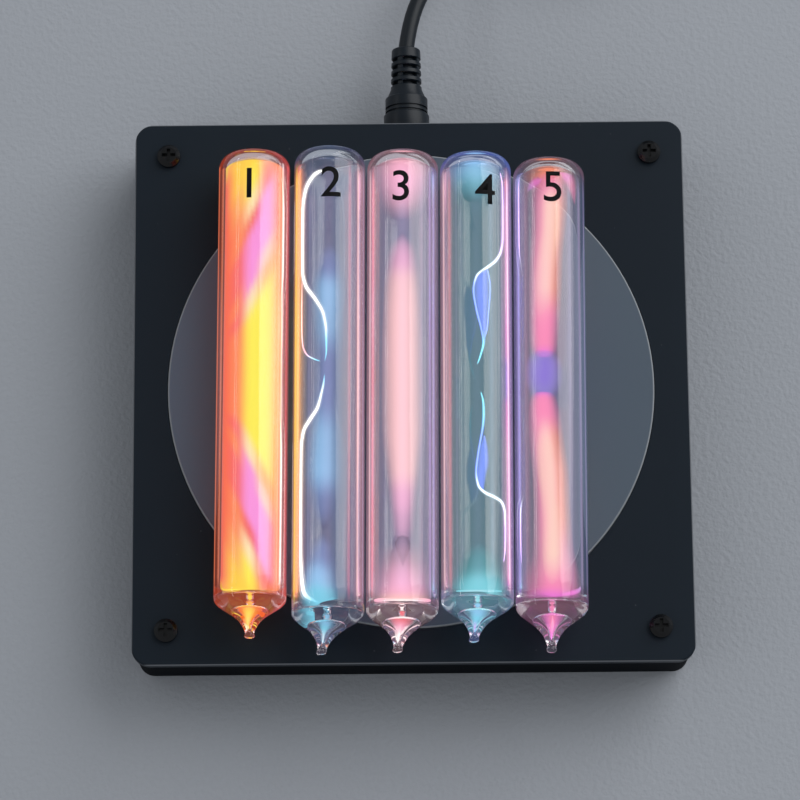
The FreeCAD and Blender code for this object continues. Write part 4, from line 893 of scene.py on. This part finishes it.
glows = {
    "neon_veil": {
        "layers": [(1.0, 0.92, 1.0, "edges")],
        "path": [(0, -46.9, 4.0), (0, -46.7, 5.8), (0, -46.0, 6.25), (0, 46.4, 6.25), (0, 48.0, 5.6),
                 (0, 48.8, 3.4)],
        "stops": [(-47, "gold gold coral", 1.0), (-43, "ember amber coral", 0.95),
                  (-26, "ember amber coral", 0.95), (-10, "ember amber amber", 0.95),
                  (10, "ember amber amber", 0.95), (26, "ember amber coral", 0.95),
                  (42, "ember amber coral", 0.95), (47, "gold gold coral", 1.0)]},
    "neon_body": {
        "layers": [(1.0, 0.95, 1.0, "even")], "skew": 2.0, "segments": 48,
        "path": [(0, -46.8, 3.0), (0, -46.6, 5.2), (0, -45.8, 5.8), (0, 46.2, 5.8), (0, 48.0, 5.0),
                 (0, 48.7, 2.6)],
        "stops": mirrored([(12, "ember coral lemon lemon amber", 1),
                           (17, "ember rose cream amber amber", 1),
                           (21, "ember coral orchid peach coral", 1),
                           (25, "ember rose orchid orchid coral", 1),
                           (30, "ember rose orchid orchid coral", 1),
                           (34, "ember coral rose orchid coral", 1),
                           (38, "ember coral cream rose coral", 1),
                           (43, "ember amber lemon coral coral", 1),
                           (49, "coral gold gold coral coral", 1), (56, "coral gold gold coral coral", 1),
                           (66, "gold gold gold amber flame", 1)])},
    "neon_line": {
        "layers": lineLayers,
        "path": [(-1.0, -46.75, 4.4), (-1.0, -46.6, 5.0), (-1.0, -46.3, 5.0), (-1.0, -46.15, 4.4)],
        "stops": [(-47, "gold lemon gold", 0.9)]},
    "neon_cone": {
        "layers": [(1.0, 0.75, 1.0, "even")],
        "path": [(-0.3, -53.4, 0.15), (-0.3, -52.2, 0.55), (-0.2, -51.0, 1.05), (-0.1, -50.0, 1.75),
                 (0, -48.9, 2.9), (0, -48.5, 3.1), (0, -48.3, 1.6)],
        "stops": [(-54, "flame gold flame", 1), (-50, "flame gold flame", 0.9),
                  (-48.3, "flame coral flame", 0.8)]},
    "neon_stem": {
        "layers": [(1.0, 0.6, 1.1, "even"), (0.55, 1.0, 1.4, "even")],
        "path": [(-0.4, -54.0, 0.12), (-0.4, -52.4, 0.4), (-0.3, -50.2, 0.9), (-0.2, -48.6, 1.3),
                 (-0.2, -48.4, 0.3)],
        "stops": [(-54, "cream", 1), (-48, "gold", 0.8)]},
    "krypton_cloud": {
        "layers": cloudLayers,
        "path": [(-1.4, -49.9, 2.6), (-1.6, -49.6, 4.0), (-1.8, -48, 4.3), (-1.9, -44, 3.9),
                 (-1.6, -40, 3.4), (-1.2, -36, 2.6), (-1.2, -33, 0.4)],
        "stops": [(-50, "cyan", 1.0), (-47, "cyan", 0.9), (-43, "sky", 0.6), (-38, "haze", 0.3),
                  (-33, "haze", 0.0)]},
    "krypton_stem": {
        "layers": cloudLayers,
        "path": [(-1.1, -57.0, 0.1), (-0.9, -54.6, 0.4), (-0.7, -52.8, 1.3), (-0.5, -51.8, 2.4),
                 (-0.5, -51.6, 1.0)],
        "stops": [(-56, "ice", 1.0), (-53, "cyan", 0.8), (-51.5, "sky", 0.4)]},
    "krypton_wisp": {
        "layers": softLayers,
        "path": [(-1.0, -33, 0.4), (-1.0, -30, 2.6), (-1.1, -20, 3.9), (-0.8, -8, 3.4), (-0.4, 0, 3.0),
                 (-0.3, 10, 3.4), (-0.3, 20, 3.6), (0.0, 27, 2.8), (0.0, 31, 0.4)],
        "stops": [(-33, "haze", 0.0), (-27, "haze", 0.2), (-20, "sky", 0.45), (-13, "sky", 0.4),
                  (-4, "haze", 0.3), (4, "haze", 0.25), (12, "sky", 0.35), (20, "sky", 0.42),
                  (25, "haze", 0.25), (31, "haze", 0.0)]},
    "krypton_upper_thread": {
        **threadForm,
        "path": [(-0.9, 4.0, 0.1), (-0.55, 6.2, 0.3), (-0.6, 10.4, 0.5), (-1.2, 14.4, 0.6),
                 (-3.0, 17.8, 0.62), (-5.1, 20.8, 0.62), (-5.85, 23.8, 0.62), (-5.95, 31, 0.64),
                 (-5.9, 38, 0.64), (-5.3, 42, 0.64), (-4.0, 44.8, 0.62), (-2.6, 46.2, 0.55),
                 (-1.2, 46.8, 0.2)],
        "stops": [(4, "cyan", 0.1), (8, "cyan", 0.4), (12, "ice", 0.9), (16, "white", 1.0),
                  (46, "white", 1.0)]},
    "krypton_side_thread": {
        **threadForm,
        "path": [(-1.8, 4.0, 0.1), (-3.4, 4.6, 0.26), (-4.8, 5.5, 0.3), (-5.7, 7.6, 0.3),
                 (-5.95, 11, 0.28), (-6.0, 16, 0.26), (-5.95, 22, 0.1)],
        "stops": [(4, "cyan", 0.3), (6, "blush", 0.5), (12, "salmon", 0.4), (20, "salmon", 0.2)]},
    "krypton_lower_thread": {
        **threadForm,
        "path": [(-1.6, -50.2, 0.1), (-3.0, -49.0, 0.8), (-4.5, -47.6, 1.0), (-5.3, -45.2, 0.9),
                 (-5.75, -41, 0.7), (-5.9, -36, 0.6), (-5.95, -24, 0.58), (-5.9, -15, 0.58),
                 (-5.4, -11.4, 0.6), (-4.0, -8.8, 0.6), (-2.4, -6.2, 0.6), (-1.7, -3.6, 0.5),
                 (-1.1, -0.8, 0.35), (-0.9, 1.2, 0.1)],
        "stops": [(-50, "cyan", 0.7), (-47, "ice", 1.0), (-42, "white", 1.0), (-7, "white", 1.0),
                  (-3, "ice", 0.8), (1, "cyan", 0.1)]},
    "helium_column": {
        "layers": [(1.4, 0.4, 1.0, "soft"), (1.1, 0.4, 1.02, "soft"), (0.7, 0.35, 1.05, "soft")],
        "path": [(0.1, -41, 0.05), (0.1, -35, 1.7), (0.1, -27, 2.1), (0.1, -20, 2.6), (0.0, -10, 3.2),
                 (-0.1, 4, 3.2), (-0.1, 17, 3.0), (-0.1, 24, 2.7), (-0.1, 29, 2.1), (-0.1, 33, 0.05)],
        "stops": [(-41, "mauve", 0.0), (-36, "pink", 0.08), (-31, "pink", 0.3), (-26, "pink", 0.6),
                  (-20, "salmon", 0.95), (-12, "salmon", 1.0), (14, "salmon", 1.0), (21, "salmon", 0.85),
                  (26, "pink", 0.5), (33, "pink", 0.0)]},
    "helium_top": {
        "layers": cloudLayers,
        "path": [(-0.2, 35.0, 1.0), (-0.2, 36.6, 4.0), (-0.1, 40, 5.6), (0, 46.5, 6.1), (0, 48.0, 5.2),
                 (0, 48.6, 1.6)],
        "stops": [(35, "mauve", 0.0), (38, "blush", 0.2), (42, "pink", 0.5), (46, "pink", 0.75),
                  (48, "blush", 0.8)]},
    "helium_foot": {
        "layers": cloudLayers,
        "path": [(0, -49.3, 2.0), (0, -49.2, 5.6), (0, -48.8, 6.1), (0, -44, 6.1), (0, -39, 5.6),
                 (0, -36, 4.0), (0, -34, 1.0)],
        "stops": [(-49, "salmon", 1.0), (-46.5, "pink", 0.85), (-43, "pink", 0.5), (-39, "blush", 0.22),
                  (-34, "mauve", 0.0)]},
    "helium_line": {
        "layers": lineLayers,
        "path": [(0, -49.3, 5.2), (0, -49.2, 6.0), (0, -48.95, 6.0), (0, -48.8, 5.2)],
        "stops": [(-49, "pink white pink", 0.8)]},
    "helium_cone": {
        "layers": cloudLayers,
        "path": [(-0.9, -56.6, 0.12), (-0.8, -54.8, 0.5), (-0.6, -53.6, 1.15), (-0.4, -52.4, 2.1),
                 (-0.3, -51.5, 2.9), (-0.3, -51.2, 1.6)],
        "stops": [(-56, "white", 1.0), (-53, "pink", 1.0), (-51.2, "rose", 0.8)]},
    "helium_stem": {
        "layers": threadLayers, "segments": 16,
        "path": [(-1.0, -57.0, 0.1), (-0.85, -55.2, 0.45), (-0.6, -53.6, 0.5), (-0.4, -51.8, 0.1)],
        "stops": [(-56, "white", 1.0), (-52, "salmon", 0.6)]},
    "xenon_pool": {
        "layers": cloudLayers,
        "path": [(0.3, -47.6, 2.0), (0.3, -47.5, 5.3), (0.4, -46.8, 5.9), (0.5, -43, 5.5),
                 (0.5, -39, 4.2), (0.5, -36.5, 2.4), (0.5, -35, 0.6)],
        "stops": [(-47.5, "sea", 1.0), (-45, "sea", 0.8), (-41, "teal", 0.4), (-35, "teal", 0.0)]},
    "xenon_line": {
        "layers": lineLayers,
        "path": [(0.3, -47.55, 3.6), (0.3, -47.45, 4.8), (0.3, -47.3, 4.8), (0.3, -47.2, 3.6)],
        "stops": [(-47, "sea ice sea", 0.6)]},
    "xenon_cone": {
        "layers": cloudLayers,
        "path": [(-0.75, -54.4, 0.1), (-0.6, -52.8, 0.45), (-0.4, -51.6, 1.0), (-0.2, -50.6, 1.8),
                 (0.0, -49.8, 2.7), (0.0, -49.5, 1.4)],
        "stops": [(-54, "violet", 1.0), (-51.6, "cyan", 0.9), (-49.6, "sky", 0.7)]},
    "xenon_rim": {
        "layers": cloudLayers,
        "path": [(0, 39, 2.0), (0, 42, 5.2), (0, 45.6, 6.1), (0, 47.2, 5.3), (0, 47.9, 2.6)],
        "stops": [(39, "teal", 0.0), (44, "sea", 0.25), (47, "sky", 0.5)]},
    "xenon_upper_thread": {
        **threadForm,
        "path": [(0.2, 3.0, 0.1), (0.9, 5, 0.3), (1.55, 8, 0.36), (1.1, 11, 0.34), (0.1, 15.2, 0.34),
                 (-0.5, 19.6, 0.36), (0.2, 22.6, 0.38), (2.3, 24.4, 0.44), (4.3, 26, 0.46),
                 (5.5, 28.2, 0.46), (5.95, 31, 0.44), (6.0, 37, 0.4), (5.95, 43, 0.34), (5.4, 46, 0.1)],
        "stops": [(3, "cyan", 0.4), (7, "cyan", 0.9), (10, "blue", 0.8), (20, "blue", 0.9),
                  (24, "ice", 1.0), (30, "violet", 1.0), (44, "violet", 0.6)]},
    "xenon_upper_side": {
        **threadForm,
        "path": [(1.7, 8.6, 0.1), (2.35, 11, 0.22), (2.7, 15.2, 0.22), (3.05, 20, 0.22),
                 (2.6, 23.4, 0.22), (2.4, 24.2, 0.1)],
        "stops": [(9, "blue", 0.3), (20, "blue", 0.6)]},
    "xenon_upper_lobe": {
        "layers": lobeLayers,
        "path": [(1.6, 6.6, 0.15), (1.75, 8.6, 0.3), (1.7, 11.1, 0.7), (1.4, 15.2, 1.3),
                 (1.3, 18.6, 1.75), (1.3, 21, 1.75), (1.6, 22.8, 1.2), (2.2, 24.2, 0.3)],
        "stops": [(7, "cyan", 0.8), (11, "blue", 1.0), (24, "blue", 1.0)]},
    "xenon_lower_thread": {
        **threadForm,
        "path": [(5.6, -40, 0.1), (5.95, -37, 0.34), (6.05, -33, 0.42), (5.95, -29.2, 0.46),
                 (5.2, -27.0, 0.46), (3.6, -25.9, 0.46), (1.6, -24.9, 0.44), (0.3, -23.4, 0.4),
                 (-0.15, -20.6, 0.36), (0.3, -16.5, 0.34), (0.85, -13.3, 0.34), (1.3, -10.7, 0.36),
                 (1.5, -8, 0.38), (1.45, -5.4, 0.34), (0.9, -2.9, 0.1)],
        "stops": [(-40, "violet", 0.3), (-34, "violet", 1.0), (-25, "ice", 1.0), (-20, "blue", 0.9),
                  (-13, "blue", 0.9), (-7, "cyan", 1.0), (-3, "cyan", 0.4)]},
    "xenon_lower_lobe": {
        "layers": lobeLayers,
        "path": [(1.4, -24.5, 0.2), (1.0, -23.4, 0.65), (0.95, -21.3, 1.1), (1.35, -18.6, 1.3),
                 (1.5, -15.4, 1.0), (1.6, -13.4, 0.4), (1.6, -12.4, 0.15)],
        "stops": [(-24, "blue", 1.0), (-12, "blue", 0.9)]},
    "argon_upper_column": {
        "layers": softLayers,
        "path": [(-1.3, 4.6, 1.4), (-1.3, 5.2, 2.4), (-1.3, 7.4, 2.9), (-1.2, 11.4, 3.1),
                 (-1.0, 16.6, 3.3), (-0.85, 21.7, 3.4), (-0.6, 27, 3.4), (-0.2, 32, 3.5),
                 (0.1, 37.2, 3.7), (0.2, 41, 3.8), (0.2, 44.4, 3.4), (0.2, 46, 1.0)],
        "stops": [(4.6, "magenta", 0.7), (7, "hot", 0.95), (12, "hot", 1.0),
                  (20, "hot salmon coral", 1.0), (38, "hot salmon coral", 0.95), (44, "hot", 0.5),
                  (46, "coral", 0.1)]},
    "argon_upper_core": {
        "layers": coreLayers,
        "path": [(-1.4, 9.5, 0.3), (-1.4, 13, 1.3), (-1.3, 17.5, 1.8), (-1.0, 22.5, 2.0), (-0.3, 28, 2.0),
                 (0.4, 33, 1.9), (0.5, 38, 1.9), (0.5, 41, 1.4), (0.6, 42.6, 0.3)],
        "stops": [(10, "pink", 0.3), (15, "peach", 0.9), (20, "shell", 1.0), (38, "cream", 1.0),
                  (42, "peach", 0.3)]},
    "argon_lower_column": {
        "layers": softLayers,
        "path": [(0.3, -49.0, 2.6), (0.4, -47.4, 4.6), (0.5, -42.3, 4.6), (0.3, -37, 4.1),
                 (0.2, -31.8, 3.8), (0.1, -26.5, 3.7), (-0.1, -21.2, 3.7), (-0.7, -15.9, 3.6),
                 (-1.2, -10.6, 3.4), (-1.5, -6, 3.0), (-1.6, -4.0, 2.4), (-1.6, -3.3, 1.4)],
        "stops": [(-49, "magenta", 0.6), (-46, "hot", 0.7), (-40, "hot salmon hot", 0.85),
                  (-30, "hot salmon coral", 1.0), (-14, "hot salmon coral", 1.0), (-8, "hot", 1.0),
                  (-5, "hot", 0.95), (-3.3, "magenta", 0.7)]},
    "argon_lower_core": {
        "layers": coreLayers,
        "path": [(0.1, -45.4, 0.3), (0.1, -42.5, 1.5), (0.2, -38, 2.1), (0.2, -32, 1.9),
                 (-0.3, -26.5, 1.8), (-0.8, -21, 2.0), (-1.1, -15.9, 1.9), (-1.3, -11.5, 1.3),
                 (-1.3, -8, 0.3)],
        "stops": [(-45, "peach", 0.5), (-41, "cream", 1.0), (-16, "cream", 1.0), (-11, "peach", 0.8),
                  (-8, "pink", 0.2)]},
    "argon_gap": {
        "layers": [(1.15, 0.5, 1.0, "soft"), (0.8, 0.5, 1.0, "soft")],
        "path": [(-1.4, -4.2, 2.0), (-1.4, -3.4, 2.8), (-1.4, -1.6, 3.4), (-1.4, 0.3, 3.6),
                 (-1.4, 3.0, 3.4), (-1.4, 4.8, 2.8), (-1.4, 5.6, 2.0)],
        "stops": [(-4.2, "iris", 0.4), (-1.0, "iris grape iris", 0.9), (2.5, "iris grape iris", 1.0),
                  (5.6, "iris", 0.4)]},
    "argon_foot": {
        "layers": [(1.0, 0.4, 1.0, "soft")],
        "path": [(0, -49.0, 2.2), (0, -48.8, 5.4), (0, -48.2, 6.1), (0, -44, 6.1), (0, -40, 5.2),
                 (0, -38, 2.0)],
        "stops": [(-49, "magenta", 0.9), (-45, "hot", 0.5), (-38, "pink", 0.0)]},
    "argon_foot_spark": {
        "layers": cloudLayers,
        "path": [(1.6, -48.6, 0.1), (3.2, -48.1, 0.7), (4.8, -47.4, 0.9), (5.8, -46.4, 0.5),
                 (6.0, -45.6, 0.1)],
        "stops": [(-48, "magenta", 0.9), (-45.6, "violet", 0.4)]},
    "argon_cone": {
        "layers": cloudLayers,
        "path": [(-0.2, -56.2, 0.12), (-0.15, -54.4, 0.6), (-0.1, -53.0, 1.2), (0, -51.8, 2.2),
                 (0, -50.9, 2.9), (0, -50.7, 1.4)],
        "stops": [(-56, "magenta", 1.0), (-53, "magenta hot magenta", 0.8),
                  (-50.7, "magenta hot magenta", 0.5)]},
    "argon_stem": {
        "layers": threadLayers, "segments": 16,
        "path": [(-0.25, -56.6, 0.1), (-0.15, -54.6, 0.5), (0.0, -52.8, 0.7), (0.1, -50.9, 0.2)],
        "stops": [(-57, "magenta", 0.5), (-53, "pink", 0.5), (-50, "hot", 0.3)]},
    "argon_crown": {
        "layers": cloudLayers,
        "path": [(0, 42, 1.0), (0, 43.4, 4.2), (0, 45.2, 5.6), (0, 46.2, 4.4), (0, 46.5, 1.6)],
        "stops": [(42, "hot", 0.0), (44.5, "coral", 0.4), (46.4, "coral", 0.5)]},
    "argon_left_spark": {
        "layers": [(1.5, 0.3, 1.0, "soft"), (0.9, 0.3, 1.0, "soft")],
        "path": [(-4.6, 41.4, 0.1), (-3.8, 42.6, 0.7), (-2.6, 43.6, 0.8), (-1.4, 44.2, 0.1)],
        "stops": [(41, "violet", 0.2), (43.5, "magenta", 0.8)]},
    "argon_right_spark": {
        "layers": [(1.3, 0.3, 1.0, "soft"), (0.8, 0.3, 1.0, "soft")],
        "path": [(5.7, 38.4, 0.1), (5.3, 41.6, 0.8), (4.6, 43.8, 1.1), (3.4, 45.2, 0.8),
                 (2.4, 45.8, 0.1)],
        "stops": [(38, "hot", 0.2), (43, "hot", 0.6), (45, "magenta", 0.9)]},
}
for glowName, spec in glows.items():
    tubeName = glowName.split("_")[0]
    shown = makeGlow(glowName, tubes[tubeName], spec)
    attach(shown, tubeName + "_discharge_tube")

# Plain numbers printed on the glass
print("numbers")
printSpec = {"height": 6.8, "fontShare": 1.4, "bold": 0.06, "above": 0.03, "thickness": 0.03,
             "strip": 0.35,
             "places": {"neon": ("1", -0.8, 41.4), "krypton": ("2", 0.45, 41.5),
                        "helium": ("3", -0.35, 40.5), "xenon": ("4", 2.1, 39.6),
                        "argon": ("5", 0.6, 40.0)}}


def makeNumber(tubeName):
    text, offset, y = printSpec["places"][tubeName]
    tube = tubes[tubeName]
    curve = bpy.data.curves.new(tubeName + "_text", "FONT")
    curve.body = text
    curve.align_x = "CENTER"
    curve.align_y = "CENTER"
    curve.size = printSpec["height"] * printSpec["fontShare"] * mm
    curve.offset = printSpec["bold"] * mm
    holder = addObject(tubeName + "_text", curve)
    data = bpy.data.meshes.new_from_object(holder)
    bpy.data.objects.remove(holder)
    mesh = bmesh.new()
    mesh.from_mesh(data)
    width = max(abs(vertex.co.x) for vertex in mesh.verts)
    strips = int(width / (printSpec["strip"] * mm)) + 1
    for number in range(-strips, strips + 1):
        cutAt = Vector((number * printSpec["strip"] * mm, 0, 0))
        parts = mesh.verts[:] + mesh.edges[:] + mesh.faces[:]
        bmesh.ops.bisect_plane(mesh, geom=parts, plane_co=cutAt, plane_no=(1, 0, 0))
    bmesh.ops.recalc_face_normals(mesh, faces=mesh.faces)
    lifted = bmesh.ops.extrude_face_region(mesh, geom=mesh.faces[:])
    raised = {item for item in lifted["geom"] if isinstance(item, bmesh.types.BMVert)}
    base = tubeSpec["radius"] + printSpec["above"]
    for vertex in mesh.verts:
        radius = base + (printSpec["thickness"] if vertex in raised else 0)
        angle = (vertex.co.x / mm + offset) / tubeSpec["radius"]
        along = vertex.co.y + (y - tube["shoulder"]) * mm
        vertex.co = Vector((radius * math.sin(angle) * mm, along, radius * math.cos(angle) * mm))
    bmesh.ops.recalc_face_normals(mesh, faces=mesh.faces)
    mesh.to_mesh(data)
    mesh.free()
    data.transform(tubePlace(tube))
    data.name = tubeName + "_number"
    return addObject(tubeName + "_number", data)


ink = mouldedMaterial("printing_ink", rgb(22, 22, 24), roughness=0.6, blotch=0.2, tooth=4000.0,
                      depth=0.000005, specular=0.1)
for tubeName in tubes:
    number = makeNumber(tubeName)
    number.data.materials.clear()
    number.data.materials.append(ink)
    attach(number, tubeName + "_discharge_tube")

# Floor and light
print("stage")
stageSpec = {"floorHalf": 1.5, "floorColour": rgb(176, 181, 189), "worldLevel": 0.36,
             "lamps": {"side_softbox": ((0.95, 0.75, 0.9), (1.5, 1.5), 15.0),
                       "left_strip": ((-0.95, 0.0, 0.66), (1.8, 0.04), 1.0)}}


def makeFloor(spec):
    half = spec["floorHalf"]
    data = bpy.data.meshes.new("floor")
    data.from_pydata([(-half, -half, 0), (half, -half, 0), (half, half, 0), (-half, half, 0)],
                     [], [(0, 1, 2, 3)])
    floor = addObject("floor", data)
    material, tree, shader, place = newMaterial("floor_surface")
    speckle = noise(tree, place, 900.0, 3.0)
    colour = spec["floorColour"]
    fillInputs(tree, shader, dict(
        Base_Color=mixColours(tree, speckle, darker(colour, 0.93), colour), Roughness=0.85,
        Specular_IOR_Level=0.2))
    addBump(tree, shader, speckle, 0.0002)
    floor.data.materials.append(material)


def makeLamps(spec):
    target = point(0, 0, 20)
    for name, (place, size, watts) in spec["lamps"].items():
        lamp = bpy.data.lights.new(name, "AREA")
        lamp.shape = "RECTANGLE"
        lamp.size, lamp.size_y = size
        lamp.energy = watts
        holder = addObject(name, lamp)
        holder.location = place
        holder.rotation_euler = (Vector(place) - target).to_track_quat("Z", "Y").to_euler()


def makeWorld(spec):
    world = bpy.data.worlds.new("studio")
    world.use_nodes = True
    background = world.node_tree.nodes["Background"]
    background.inputs["Color"].default_value = (0.96, 0.98, 1.0, 1)
    background.inputs["Strength"].default_value = spec["worldLevel"]
    scene.world = world


makeFloor(stageSpec)
makeLamps(stageSpec)
makeWorld(stageSpec)
